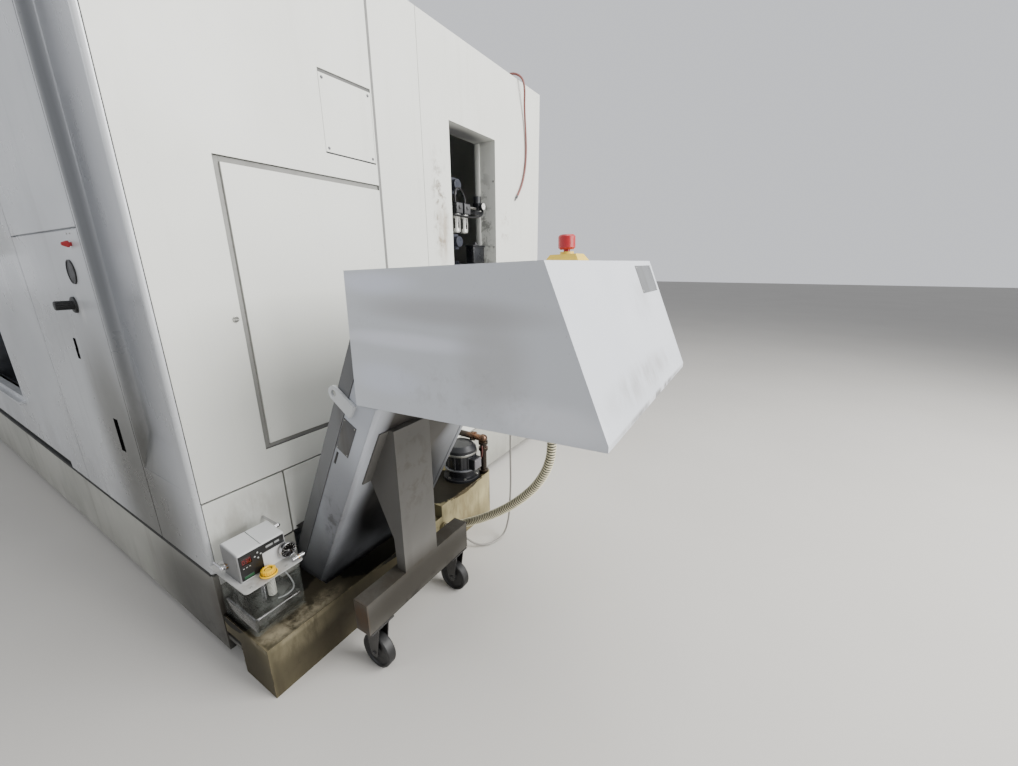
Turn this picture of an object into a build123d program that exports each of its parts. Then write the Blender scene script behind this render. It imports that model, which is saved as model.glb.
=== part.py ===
from build123d import *
from math import cos, degrees, pi, radians, sin, tan
import os

# Slant-bed turning machine with a chip conveyor leaving its right end.
# Millimetres. In the working frame X is measured from the right end covers (the conveyor
# side is positive), Y from the front covers to the back and Z from the floor. The written
# parts are shifted so that the origin is under the middle of the whole machine.

# Envelope and seams
enclosure_length = 4400
enclosure_depth = 2196
machine_height = 2303
base_top = 335
foot_height = 38
base_seam = 8
seam = 6
sheet = 3
cover_depth = 25
seat_setback = 10
seat_strip = 8
slide_gap = 0.3
shaft_fit = 0.05

# Machine base
trough_margin = 14
trough_floor = 56
trough_tail_margin = 60
ear_length = 84
ear_width = 52
ear_thickness = 16
ear_height = 84
ear_setback = 4

# Levelling feet
foot_rows = (135, 1420, 2000)
foot_columns = 4
foot_end_margin = 100
foot_pad_radius = 60
foot_pad_height = 16
foot_stud_radius = 18
level_bolt_radius = 8
level_bolt_head_radius = 13
level_bolt_head_height = 10
level_bolt_rise = 14
level_bolt_foot_radius = 18

# Slant bed. Bed sections are laid out along and square to the slanted face.
bed_angle = 45
bed_face_y = 735
bed_face_z = 470
bed_face_length = 1010
bed_back_y = 1560
bed_front_y = 700
bed_front_step_z = 440
bed_left = 3950
bed_right = 520
way_height = 40
way_width = 130
way_near = 60
way_far = 820

# Headstock and chuck
spindle_along = 385
spindle_out = 548
headstock_length = 600
headstock_left = 3800
headstock_shoulder_along = (200, 720)
headstock_shoulder_out = (420, 480, 300)
headstock_top_along = 560
headstock_top_out = 720
spindle_bore_radius = 110
chuck_gap = 5
chuck_radius = 200
chuck_thickness = 140
chuck_bar_hole_radius = 45
chuck_chamfer = 8
jaw_step = 34
jaw_step_length = 54
jaw_width = 44
jaw_height = 60
jaw_inner_radius = 62
jaw_length = 118

# Saddle, cross slide and turret
saddle_left = 2900
saddle_length = 520
saddle_thickness = 90
saddle_margin = 24
cross_way_width = 70
cross_way_height = 26
cross_slide_length = 520
cross_slide_width = 400
cross_slide_thickness = 90
turret_along = 760
turret_housing_radius = 190
turret_housing_length = 330
turret_disc_radius = 230
turret_disc_thickness = 110
turret_stations = 12
turret_gap = 3
turret_hub_radius = 60
tool_length = 62
tool_size = 26
tool_seat = 2

# Tailstock
tailstock_left = 1750
tailstock_length = 560
tailstock_body_radius = 130
quill_radius = 60
quill_stickout = 60
centre_length = 90
centre_radius = 24

# Inner guard sheets
guard_left = 3185
guard_right = 960
guard_sheet = 4
guard_front_y = 60
guard_back_y = 1500
guard_top = 2240
guard_sill_z = 590
guard_chute_y = 262
guard_chute_z = 350
guard_spindle_radius = 235

# Front covers
column_width = 366
column_depth = 60
column_corner_radius = 12
column_return = 14
groove_edge = 356
groove_crease = 338
groove_depth = 34
groove_root_radius = 14
groove_outer_margin = 12
groove_full_z = 760
groove_end_z = 630
groove_end_depth = 1.5
panel_left_edge = 1150
panel_split_z = 1405
door_side_edge = 2006
frame_left_edge = 3180
opening_bottom = 606
opening_top = 1960
drain_slot_right = 1400
drain_slot_height = 34
rail_height = 12
rail_depth = 26
rail_standoff = 8
sill_lip = 10

# Sliding door
door_overlap = 30
door_thickness = 34
door_bottom = 586
door_top = 1980
window_margin_side = 210
window_bottom = 1010
window_top = 1800
window_rebate = 14
window_thickness = 8
window_lip = 5
handle_inset = 70
handle_bottom = 1080
handle_top = 1420
handle_radius = 13
handle_reach = 62

# Operator panel
console_left = 1960
console_right = 1560
console_bottom = 1330
console_top = 1990
console_depth = 90
console_slope = 30
screen_margin = 46
screen_height = 230
screen_recess = 4
key_size = 22
key_pitch = 36
key_rise = 3
key_rows = 6
key_columns = 8
key_top_gap = 70
console_stop_radius = 20
console_stop_height = 26
console_stop_inset = 60
stop_stem_radius = 8
stop_stem_length = 14
stop_travel = 5
stop_well_margin = 2
console_stop_edge = 3

# Controls on the front column
gauge_x = 524
gauge_z = 1278
gauge_radius = 38
gauge_rim = 4
gauge_glass_recess = 1.5
gauge_depth = 34
knob_x = 590
knob_z = 1171
knob_flange_radius = 27
knob_flange_height = 7
knob_grip_radius = 15
knob_grip_height = 43
knob_flutes = 12
knob_flute_radius = 2.2
knob_stem_radius = 6
knob_stem_length = 20
knob_edge = 2
knob_flute_start = 4
button_x = 455
button_z = 1361
button_radius = 10
button_height = 22
button_bezel = 4
button_stem_radius = 6
button_stem_length = 16
key_slot_x = 722
key_slot_z = 1008
key_slot_length = 68
key_slot_width = 10
vent_slot_x = 522
vent_slot_z = 712
vent_slot_length = 118
vent_slot_width = 11

# Right end covers
end_front_edge = 16
end_split_y = 838
end_split_gap = 8
joggle_y = 1097
joggle_width = 3
joggle_depth = 1.5
lower_split_z = 591
lower_split_y = 272
access_near = 248
access_far = 832
access_bottom = 708
access_top = 1581
access_strip = 18
access_thickness = 14
latch_z = 1137
latch_radius = 9
latch_head = 4
latch_stem_radius = 4
latch_slot_width = 2
latch_slot_depth = 2
latch_edge = 1
small_cover_near = 606
small_cover_far = 825
small_cover_bottom = 1677
small_cover_top = 1917
small_cover_thickness = 4
small_cover_strip = 12
small_cover_fit = 1
service_near = 1288
service_far = 1680
service_bottom = 1000
service_top = 1943
jamb_depth = 140

# Hydraulic valve column and air preparation unit behind the service opening
column_near = 1470
column_far = 1640
column_setback = 330
valve_count = 5
valve_pitch = 150
valve_first_z = 1120
valve_size = 84
valve_length = 120
solenoid_length = 42
solenoid_radius = 29
air_y = 1404
air_z = 1576
air_setback = 70
air_block = 54
air_pitch = 66
air_nipple_radius = 12
bowl_radius = 20
bowl_length = 71
regulator_y = 1600
regulator_size = 36
regulator_rise = 26
air_outlet_radius = 6
air_gauge_radius = 18
air_gauge_stem = 12
air_gauge_thickness = 12
air_arm_thickness = 6
air_arm_height = 20
air_knob_radius = 21
air_knob_height = 36

# Coolant tank
tank_width = 264
tank_near = 2
tank_far = 1213
tank_height = 186
tank_step_y = 800
tank_far_height = 240
tank_sheet = 4
tank_cover_drop = 12
tank_corner_radius = 40
tank_base_gap = 4
tank_notch_length = 92
tank_notch_height = 122
tank_notch_depth = 62
tank_slot_reach = 160

# Coolant pump
pump_x = 150
pump_y = 1095
pump_flange_radius = 92
pump_flange_height = 14
pump_body_radius = 66
pump_body_height = 40
pump_motor_radius = 76
pump_motor_height = 104
pump_dome_height = 34
pump_fins = 14
pump_fin_depth = 6
pump_fin_width = 7
pump_box_size = 58
pump_joint_height = 12
pump_cowl_height = 14
pump_cowl_overlap = 6
pump_cowl_margin = 4
pump_fin_end = 20
pump_box_depth = 35
pipe_radius = 17
pipe_rise = 196
pipe_y = 1180
pipe_x = 232
pipe_arm = 70
pipe_nut_radius = 25
pipe_nut_height = 16
pipe_nut_places = (4, 132, 166)
pipe_elbow_radius = 23

# Chip conveyor
trunk_near = 288
trunk_width = 567
trunk_thickness = 128
trunk_floor = 60
trunk_sheet = 4
trunk_tail = 3150
incline = 62
entry_x = 506
entry_z = 912
trunk_head = 250
flange_height = 24
flange_skirt = 3
flange_skirt_drop = 26
flange_bolt_radius = 7
flange_bolt_height = 5
flange_bolt_pitch = 170
flange_bolt_inset = 18
flange_start = 60
chute_depth = 200
lug_along = 63
lug_across = 68
lug_length = 86
lug_foot = 30
lug_width = 46
lug_thickness = 8
lug_hole_radius = 11
lug_angle = 34
seal_thickness = 10
seal_height = 34

# Chip belt and head shaft
runner_inset = 24
runner_width = 26
runner_end_margin = 200
belt_radius = 50
belt_thickness = 8
belt_side_gap = 8
slat_pitch = 150
slat_height = 7
slat_width = 12
head_along = 170
sprocket_teeth = 8
sprocket_radius = 40
sprocket_root_radius = 33
sprocket_width = 30
sprocket_inset = 30
shaft_radius = 16
shaft_overhang = 70

# Conveyor hood
hood_near = 281
hood_width = 804
hood_sheet = 3
hood_left_bottom = (437, 914)
hood_left_top = (446, 1283)
hood_right_top = (1022, 1305)
hood_right_bottom = (1168, 948)
hood_end_upright = 14
hood_slot_gap = 1
hood_slot_start = 60
discharge_left = 800
discharge_right = 1130
discharge_far = 740
discharge_margin = 40
lip_height = 12
lip_thickness = 3
spigot_radius = 22

# Gear motor inside the hood
gearbox_size = 130
gearbox_length = 150
gearbox_spigot_radius = 36
gearbox_spigot_length = 5
motor_radius = 62
motor_length = 210
motor_cowl_margin = 5
motor_cowl_length = 40

# Emergency stop on the hood
stop_x = 947
stop_y = 556
stop_base_length = 92
stop_base_width = 74
stop_base_height = 18
stop_base_bevel = 12
stop_collar_radius = 17
stop_collar_height = 6
stop_button_radius = 21
stop_button_height = 40
stop_button_edge = 4

# Conveyor leg and casters
leg_face_x = 476
leg_near = 372
leg_far = 530
leg_sheet = 5
leg_top = 808
leg_knee = 608
leg_plate_margin = 35
leg_bend = (433, 409)
leg_toe = (438, 290)
beam_width = 60
beam_near = 205
beam_far = 708
beam_bottom = 175
beam_top = 290
caster_inset = 52
caster_plate_length = 92
caster_plate_width = 66
caster_plate_thickness = 5
fork_thickness = 4
fork_gap = 1.5
wheel_radius = 62
wheel_width = 34
axle_radius = 7
hub_radius = 16
axle_stickout = 4
tread_thickness = 12
tread_bevel = 4
tread_edge = 2
web_recess = 6

# Lubrication unit
lube_shelf_near = -4
lube_shelf_far = 178
lube_shelf_reach = 221
lube_shelf_top = 378
lube_back_drop = 78
lube_shelf_corner = 12
housing_left = 70
housing_right = 165
housing_near = 12
housing_far = 158
housing_height = 104
housing_slope = 10
housing_split_width = 2
housing_split_depth = 12
face_plate = 3
face_margin = 5
display_width = 30
display_height = 26
key_dome_radius = 3
key_dome_rise = 1
face_key_height = 10
face_key_rise = 4
cap_x = 193
cap_y = 80
cap_radius = 25
cap_height = 20
cap_skirt = 6
cap_grip_radius = 18
cap_dish_radius = 11
cap_dish_depth = 4
cap_ribs = 20
cap_rib_width = 2.5
cap_rib_depth = 2.5
cap_edge = 2
neck_radius = 13
neck_rise = 6
reservoir_near = 6
reservoir_far = 168
reservoir_left = 20
reservoir_right = 212
reservoir_bottom = 205
reservoir_wall = 3
reservoir_corner = 7
lube_gauge_y = 152
lube_gauge_z = 415
lube_gauge_radius = 25
lube_gauge_depth = 16
lube_gauge_gap = 8
lube_gauge_rim = 2.5
lube_gauge_sink = 1.5
lube_gauge_bevel = 3
lube_pipe_radius = 4
fitting_radius = 7
fitting_nut_radius = 9
fitting_nut_length = 7
fitting_rise = 35
fitting_inset = 24
near_fitting_reach = 14
near_pipe_length = 50
far_fitting_reach = 20
outlet_inset = 13
outlet_length = 38
outlet_overhang = 8
outlet_pin_radius = 2
suction_inset = 54
suction_radius = 7
suction_lift = 6
strainer_radius = 14
strainer_height = 30

# Cords: routes are points chosen along the real runs, in the working frame
hose_diameter = 36
hose_route = [
    (788, 800, 896), (788, 800, 800), (806, 801, 702), (800, 802, 600),
    (752, 801, 498), (672, 800, 404), (574, 798, 318), (462, 797, 242),
    (372, 799, 189), (290, 800, 144),
]
cable_diameter = 9
cable_route = [
    (476, 1062, 885), (476, 1062, 780), (472, 1061, 660), (473, 1060, 540),
    (471, 1062, 420), (471, 1065, 300), (467, 1064, 190), (462, 1060, 96),
    (452, 1040, 24), (440, 990, 7), (418, 935, 8), (376, 900, 16),
    (326, 886, 46), (282, 880, 60),
]
wire_diameter = 12
wire_route = [
    (-104, 1896, machine_height + 21), (-60, 1902, machine_height + 28),
    (-8, 1914, machine_height + 29), (32, 1930, machine_height + 1),
    (34, 1948, machine_height - 51), (20, 1968, machine_height - 111),
    (12, 1990, machine_height - 183), (10, 2006, machine_height - 263),
    (9, 2014, machine_height - 343), (9, 2008, machine_height - 423),
    (9, 1984, machine_height - 503), (9, 1944, machine_height - 573),
    (9, 1902, machine_height - 619),
]
nozzle_overlap = 12
gland_length = 14
gland_margin = 4

# Placement of the working frame in the part's own frame
front_reach = door_thickness + rail_standoff + handle_reach
centre_x = (hood_right_bottom[0] - enclosure_length) / 2
centre_y = (enclosure_depth - front_reach) / 2
hood_far = hood_near + hood_width
trunk_far = trunk_near + trunk_width
belt_across = trunk_thickness / 2


def block(x0, x1, y0, y1, z0, z1):
    """Box between two corners."""
    size = Box(x1 - x0, y1 - y0, z1 - z0)
    return Pos((x0 + x1) / 2, (y0 + y1) / 2, (z0 + z1) / 2) * size


def across_y(points, y0, y1):
    """Side view in X and Z, carried from y0 to y1."""
    outline = Polyline([(x, y0, z) for x, z in points], close=True)
    return extrude(make_face(outline), amount=y1 - y0, dir=(0, 1, 0))


def along_x(points, x0, x1):
    """Section in Y and Z, carried from x0 to x1."""
    outline = Polyline([(x0, y, z) for y, z in points], close=True)
    return extrude(make_face(outline), amount=x1 - x0, dir=(1, 0, 0))


def upright(points, z0, z1):
    """Plan in X and Y, carried from z0 to z1."""
    outline = Polyline([(x, y, z0) for x, y in points], close=True)
    return extrude(make_face(outline), amount=z1 - z0, dir=(0, 0, 1))


def rod(radius, start, end):
    """Round bar between two points."""
    axis = Vector(*end) - Vector(*start)
    at = Plane(origin=start, z_dir=axis)
    return at * Cylinder(radius, axis.length, align=(Align.CENTER, Align.CENTER, Align.MIN))


def turned(profile, at):
    """Turned piece: profile of radius and height points, standing on a plane."""
    outline = Polyline([(r, 0, h) for r, h in profile], close=True)
    return at * revolve(make_face(outline), Axis.Z)


def folded_cover(left, right, bottom, top, seat):
    """Folded sheet cover: skin, four returned edges and a hidden seat strip below."""
    skin = block(left, right, 0, cover_depth, bottom, top)
    inside = block(left + sheet, right - sheet, sheet, cover_depth, bottom + sheet, top - sheet)
    cover = skin - inside
    if seat:
        y0 = seat_setback
        cover += block(left + sheet, right - sheet, y0, y0 + seat_strip, bottom - seat, bottom)
    return cover


def on_right_end(shape):
    """Turns a cover drawn for the front so that it faces the right end."""
    return Rot(0, 0, 90) * shape


def on_bed(along, out):
    """Section point, along and square to the slanted face of the bed."""
    a = radians(bed_angle)
    y = bed_face_y + along * cos(a) - out * sin(a)
    z = bed_face_z + along * sin(a) + out * cos(a)
    return (y, z)


def on_incline(along, across):
    """Side view point: distance up the conveyor's slope and above its underside."""
    a = radians(incline)
    x = entry_x + along * cos(a) - across * sin(a)
    z = entry_z + along * sin(a) + across * cos(a)
    return (x, z)


def elbow(across):
    """Side view point where the level run meets the slope, above the underside."""
    a = radians(incline)
    along = (trunk_floor + across - entry_z - across * cos(a)) / sin(a)
    return on_incline(along, across)


def spindle_axis():
    """Spindle centre line as Y and Z."""
    return on_bed(spindle_along, spindle_out)


def foot_places():
    """Distance of each column of feet from the right end."""
    step = (enclosure_length - 2 * foot_end_margin) / (foot_columns - 1)
    return [-foot_end_margin - step * n for n in range(foot_columns)]


def machine_base():
    """Closed welded base with the conveyor trough and a levelling ear."""
    base = block(-enclosure_length, 0, 0, enclosure_depth, foot_height, base_top)
    y0 = trunk_near - trough_margin
    y1 = trunk_far + trough_margin
    tail = -trunk_tail - trough_tail_margin
    base -= block(tail, 0, y0, y1, trough_floor, base_top)
    ear_top = ear_height + ear_thickness
    ear = block(0, ear_length, ear_setback, ear_setback + ear_width, ear_height, ear_top)
    y, x = ear_setback + ear_width / 2, ear_length - ear_width / 2
    ear -= rod(level_bolt_radius + slide_gap, (x, y, ear_height), (x, y, ear_top))
    return base + ear


def levelling_feet():
    """Screwed feet under the base, and the levelling bolt in the ear."""
    foot_profile = [
        (0, 0), (foot_pad_radius, 0), (foot_pad_radius, foot_pad_height / 2),
        (foot_stud_radius * 2, foot_pad_height), (foot_stud_radius, foot_pad_height),
        (foot_stud_radius, foot_height), (0, foot_height),
    ]
    feet = [
        turned(foot_profile, Plane(origin=(x, y, 0)))
        for x in foot_places()
        for y in foot_rows
    ]
    top = ear_height + ear_thickness
    bolt_profile = [
        (0, 0), (level_bolt_foot_radius, 0), (level_bolt_foot_radius, level_bolt_radius),
        (level_bolt_radius, level_bolt_radius), (level_bolt_radius, top),
        (level_bolt_head_radius, top), (level_bolt_head_radius, top + level_bolt_head_height),
        (level_bolt_radius, top + level_bolt_head_height), (level_bolt_radius, top + level_bolt_rise),
        (0, top + level_bolt_rise),
    ]
    y, x = ear_setback + ear_width / 2, ear_length - ear_width / 2
    return Compound(feet + [turned(bolt_profile, Plane(origin=(x, y, 0)))])


def slant_bed():
    """Cast bed with two raised box ways on its slanted face."""
    near, far = way_near, way_far
    section = [
        (bed_front_y, base_top), (bed_front_y, bed_front_step_z), on_bed(0, 0),
        on_bed(near, 0), on_bed(near, way_height),
        on_bed(near + way_width, way_height), on_bed(near + way_width, 0),
        on_bed(far, 0), on_bed(far, way_height),
        on_bed(far + way_width, way_height), on_bed(far + way_width, 0),
        on_bed(bed_face_length, 0), (bed_back_y, on_bed(bed_face_length, 0)[1]),
        (bed_back_y, base_top),
    ]
    return along_x(section, -bed_left, -bed_right)


def headstock():
    """Spindle housing on the left end of the ways, bored for the spindle."""
    near, far = way_near, way_far + way_width
    near_along, far_along = headstock_shoulder_along
    front_out, far_out, back_out = headstock_shoulder_out
    section = [
        on_bed(near, way_height), on_bed(near, front_out),
        on_bed(near_along, headstock_top_out), on_bed(headstock_top_along, headstock_top_out),
        on_bed(far_along, far_out), on_bed(far, back_out), on_bed(far, way_height),
    ]
    right = -headstock_left + headstock_length
    y, z = spindle_axis()
    body = along_x(section, -headstock_left, right)
    return body - rod(spindle_bore_radius, (-headstock_left, y, z), (right, y, z))


def chuck():
    """Chuck body with its spindle hub, bar hole and three stepped jaws."""
    y, z = spindle_axis()
    face = -headstock_left + headstock_length
    back = face + chuck_gap
    front = back + chuck_thickness
    left = face - headstock_length
    body = rod(chuck_radius, (back, y, z), (front, y, z))
    body = chamfer(body.edges().filter_by(GeomType.CIRCLE), chuck_chamfer)
    body += rod(spindle_bore_radius - shaft_fit, (left, y, z), (back, y, z))
    body -= rod(chuck_bar_hole_radius, (left, y, z), (front, y, z))
    for turn in (0, 120, 240):
        outer = jaw_inner_radius + jaw_length
        half = jaw_width / 2
        low = block(0, jaw_height / 2, -half, half, jaw_inner_radius + jaw_step, outer)
        high = block(0, jaw_height, -half, half, jaw_inner_radius, outer - jaw_step_length)
        body += Pos(front, y, z) * Rot(turn, 0, 0) * (low + high)
    return body


def bed_frame(x, along, out):
    """Plane whose X follows the bed, Y goes up the slanted face and Z leaves it."""
    a = radians(bed_angle)
    y, z = on_bed(along, out)
    return Plane(origin=(x, y, z), x_dir=(1, 0, 0), z_dir=(0, -sin(a), cos(a)))


def saddle():
    """Carriage that runs along the bed, with raised cross ways."""
    near = way_near - saddle_margin
    far = way_far + way_width + saddle_margin
    base_out = way_height + slide_gap
    at = bed_frame(-saddle_left, near, base_out)
    plate = block(0, saddle_length, 0, far - near, 0, saddle_thickness)
    for x in (saddle_margin, saddle_length - saddle_margin - cross_way_width):
        way_top = saddle_thickness + cross_way_height
        plate += block(x, x + cross_way_width, 0, far - near, saddle_thickness, way_top)
    for along in (near, far - saddle_margin + slide_gap):
        start = along - near
        skirt = saddle_margin - slide_gap
        plate += block(0, saddle_length, start, start + skirt, -way_height + seam, 0)
    return at * plate


def turret_slide():
    """Cross slide on the saddle's ways, carrying the turret's round housing."""
    out = way_height + 2 * slide_gap + saddle_thickness + cross_way_height
    left = saddle_left - (saddle_length - cross_slide_width) / 2
    along = turret_along - cross_slide_length / 2
    at = bed_frame(-left, along, out)
    slide = at * block(0, cross_slide_width, 0, cross_slide_length, 0, cross_slide_thickness)
    y, z = on_bed(turret_along, spindle_out)
    x0 = -left + turret_disc_thickness / 2
    x1 = x0 + turret_housing_length
    housing = rod(turret_housing_radius, (x0, y, z), (x1, y, z))
    rise = spindle_out - out
    r = turret_housing_radius
    web = bed_frame(x0, turret_along - r, out) * block(0, turret_housing_length, 0, 2 * r, 0, rise)
    hub = rod(turret_hub_radius + shaft_fit, (x0, y, z), (x1, y, z))
    return slide + housing + web - hub


def turret_disc():
    """Twelve-sided tool disc with its hub shaft and a square tool at each station."""
    left = saddle_left - (saddle_length - cross_slide_width) / 2
    x1 = -left + turret_disc_thickness / 2 - turret_gap
    x0 = x1 - turret_disc_thickness
    y, z = on_bed(turret_along, spindle_out)
    flats = RegularPolygon(turret_disc_radius, turret_stations)
    disc = Plane(origin=(x0, y, z), x_dir=(0, 1, 0), z_dir=(1, 0, 0)) * extrude(
        flats, amount=turret_disc_thickness
    )
    disc += rod(turret_hub_radius, (x1, y, z), (x1 + turret_housing_length - seam, y, z))
    side = turret_disc_radius * cos(pi / turret_stations)
    middle = (x0 + x1) / 2
    for n in range(turret_stations):
        turn = 360 / turret_stations * (n + 0.5)
        half = tool_size / 2
        tool = block(-half, half, -half, half, side - tool_seat, side + tool_length)
        disc += Pos(middle, y, z) * Rot(turn, 0, 0) * tool
    return disc


def tailstock():
    """Tailstock body on the ways with a bored barrel for the quill."""
    near, far = way_near, way_far + way_width
    base_out = way_height + slide_gap
    y, z = spindle_axis()
    r = tailstock_body_radius
    section = [
        on_bed(near, base_out), on_bed(spindle_along - r, spindle_out),
        on_bed(spindle_along + r, spindle_out), on_bed(far, base_out + r), on_bed(far, base_out),
    ]
    x0, x1 = -tailstock_left, -tailstock_left + tailstock_length
    body = along_x(section, x0, x1) + rod(r, (x0, y, z), (x1, y, z))
    return body - rod(quill_radius + shaft_fit, (x0, y, z), (x1, y, z))


def tailstock_quill():
    """Quill barrel with a sixty-degree centre at its nose."""
    y, z = spindle_axis()
    length = tailstock_length + quill_stickout
    profile = [
        (0, 0), (quill_radius, 0), (quill_radius, length), (centre_radius, length),
        (centre_radius, length + centre_length / 2), (0, length + centre_length),
    ]
    nose = -tailstock_left - quill_stickout
    at = Plane(origin=(nose + length, y, z), z_dir=(-1, 0, 0))
    return turned(profile, at)


def work_guard():
    """Inner splash guard: end walls, back wall and the chute sheet under the sill."""
    seat = way_height + slide_gap
    back_foot = on_bed(bed_face_length, seat)[1]
    wall = [
        (guard_front_y, guard_sill_z), (guard_chute_y, guard_chute_z),
        (bed_front_y - slide_gap, guard_chute_z), (bed_front_y - slide_gap, on_bed(0, seat)[1]),
        on_bed(0, seat), on_bed(bed_face_length, seat), (guard_back_y, back_foot),
        (guard_back_y, guard_top), (guard_front_y, guard_top),
    ]
    y, z = spindle_axis()
    left = along_x(wall, -guard_left, -guard_left + guard_sheet)
    left -= rod(guard_spindle_radius, (-guard_left, y, z), (-guard_left + guard_sheet, y, z))
    right = along_x(wall, -guard_right - guard_sheet, -guard_right)
    back = block(
        -guard_left, -guard_right, guard_back_y - guard_sheet, guard_back_y, back_foot, guard_top
    )
    chute = [
        (guard_front_y, guard_sill_z), (guard_chute_y, guard_chute_z),
        (guard_chute_y + guard_sheet, guard_chute_z),
        (guard_front_y + guard_sheet, guard_sill_z),
    ]
    return left + right + back + along_x(chute, -guard_left, -guard_right)


def groove_outline(depth, z):
    """Plan of the hollow beside the front column, with a rounded root."""
    run = groove_edge - groove_crease
    points = [
        (-groove_edge, 0), (-groove_edge + run * depth / groove_depth, depth),
        (-groove_outer_margin, 0),
    ]
    outline = make_face(Polyline([(x, y, z) for x, y in points], close=True))
    root = outline.vertices().sort_by(Axis.Y)[-1]
    return fillet(root, groove_root_radius * depth / groove_depth).face()


def front_column():
    """Folded corner column with a concave upright hollow that fades out near the foot."""
    bottom = base_top + base_seam
    column = block(-column_width, 0, 0, column_depth, bottom, machine_height)
    column = fillet(
        column.edges().filter_by(Axis.Z).group_by(Axis.X)[-1].sort_by(Axis.Y)[0],
        column_corner_radius,
    )
    right = -cover_depth - slide_gap
    left = -column_width + sheet
    column -= block(left, right, sheet, column_depth, bottom + sheet, groove_end_z)
    slant = groove_depth / (groove_crease - groove_outer_margin)
    near_right = sheet * 1.1 + slant * (-right - groove_outer_margin)
    hollow = [
        (left, sheet), (-groove_edge - sheet, sheet), (-groove_crease - sheet, groove_depth + sheet),
        (-groove_crease, groove_depth + sheet), (right, near_right), (right, column_depth),
        (left, column_depth),
    ]
    column -= upright(hollow, groove_end_z - 1, machine_height - sheet)
    rise = machine_height - groove_full_z
    column -= extrude(groove_outline(groove_depth, groove_full_z), amount=rise, dir=(0, 0, 1))
    ends = [groove_outline(groove_depth, groove_full_z), groove_outline(groove_end_depth, groove_end_z)]
    column -= loft(ends)
    column -= block(right, 0, column_return, column_depth, bottom, machine_height)
    y0 = seat_setback
    return column + block(left, right, y0, y0 + seat_strip, base_top, bottom + sheet)


def slot_cutter(x, z, length, width):
    """Cutter for an upright slot with round ends, through the front skin."""
    at = Plane(origin=(x, -1, z), x_dir=(0, 0, 1), z_dir=(0, 1, 0))
    return at * extrude(SlotOverall(length, width), amount=cover_depth + 2)


def front_panel_upper():
    """Fixed panel above the controls."""
    right = -column_width - seam
    left, bottom = -panel_left_edge + seam / 2, panel_split_z + seam / 2
    return folded_cover(left, right, bottom, machine_height, seam)


def front_panel_lower():
    """Fixed panel that carries the gauge, knob and button, with its slots."""
    right = -column_width - seam
    bottom = base_top + base_seam
    cover = folded_cover(-panel_left_edge + seam / 2, right, bottom, panel_split_z - seam / 2, base_seam)
    cover -= slot_cutter(-key_slot_x, key_slot_z, key_slot_length, key_slot_width)
    cover -= slot_cutter(-vent_slot_x, vent_slot_z, vent_slot_length, vent_slot_width)
    cover -= rod(gauge_radius - gauge_rim, (-gauge_x, -1, gauge_z), (-gauge_x, cover_depth, gauge_z))
    cover -= rod(knob_stem_radius + shaft_fit, (-knob_x, -1, knob_z), (-knob_x, cover_depth, knob_z))
    stem = button_stem_radius + slide_gap
    return cover - rod(stem, (-button_x, -1, button_z), (-button_x, cover_depth, button_z))


def door_rail(x0, x1, z0, z1):
    """Guide rail folded out of a front cover for the sliding door."""
    return block(x0, x1, -rail_depth, 0, z0, z1)


def front_door_frame():
    """Fixed front cover beside, below and above the loading opening."""
    left, right = -frame_left_edge + seam / 2, -panel_left_edge - seam / 2
    bottom = base_top + base_seam
    cover = folded_cover(left, right, bottom, machine_height, base_seam)
    cover -= block(left - 1, -door_side_edge, -1, cover_depth + 1, opening_bottom, opening_top)
    slot_top = bottom + drain_slot_height
    cover -= block(left - 1, -drain_slot_right, -1, seat_setback, bottom - 1, slot_top)
    jamb_y = cover_depth + sill_lip
    cover += block(left, -door_side_edge, 0, jamb_y, opening_bottom - sheet, opening_bottom)
    cover += block(left, -door_side_edge, 0, jamb_y, opening_top, opening_top + sheet)
    cover += block(
        -door_side_edge, -door_side_edge + sheet, 0, jamb_y, opening_bottom - sheet, opening_top + sheet
    )
    right_end = -door_side_edge + door_overlap
    low = door_bottom - slide_gap
    high = door_top + slide_gap
    cover += door_rail(left, right_end, low - rail_height, low)
    return cover + door_rail(left, right_end, high, high + rail_height)


def front_left_cover():
    """Fixed front cover in front of the headstock, behind the opened door."""
    left, right = -enclosure_length, -frame_left_edge - seam / 2
    bottom = base_top + base_seam
    cover = folded_cover(left, right, bottom, machine_height, base_seam)
    low = door_bottom - slide_gap
    high = door_top + slide_gap
    cover += door_rail(left, right, low - rail_height, low)
    return cover + door_rail(left, right, high, high + rail_height)


def door_edges():
    """Left and right edge of the opened door."""
    width = frame_left_edge - door_side_edge + 2 * door_overlap
    right = -frame_left_edge + door_overlap
    return right - width, right


def front_door():
    """Sliding door: folded shell with a window opening and a welded bow handle."""
    left, right = door_edges()
    back = -rail_standoff
    front = back - door_thickness
    door = block(left, right, front, back, door_bottom, door_top)
    door -= block(
        left + sheet, right - sheet, front + sheet, back, door_bottom + sheet, door_top - sheet
    )
    w0, w1 = left + window_margin_side, right - window_margin_side
    rim = window_rebate
    door += block(
        w0 - rim - sheet, w1 + rim + sheet, front, front + window_thickness + 2 * window_lip,
        window_bottom - rim - sheet, window_top + rim + sheet,
    )
    door -= block(w0, w1, front - 1, back + 1, window_bottom, window_top)
    glass_y = front + window_lip
    door -= block(
        w0 - rim, w1 + rim, glass_y, back + 1, window_bottom - rim, window_top + rim
    )
    x = right - handle_inset
    reach = front - handle_reach + handle_radius
    for z in (handle_bottom, handle_top):
        door += rod(handle_radius, (x, front, z), (x, reach, z))
        door += Pos(x, reach, z) * Sphere(handle_radius)
    return door + rod(handle_radius, (x, reach, handle_bottom), (x, reach, handle_top))


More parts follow.
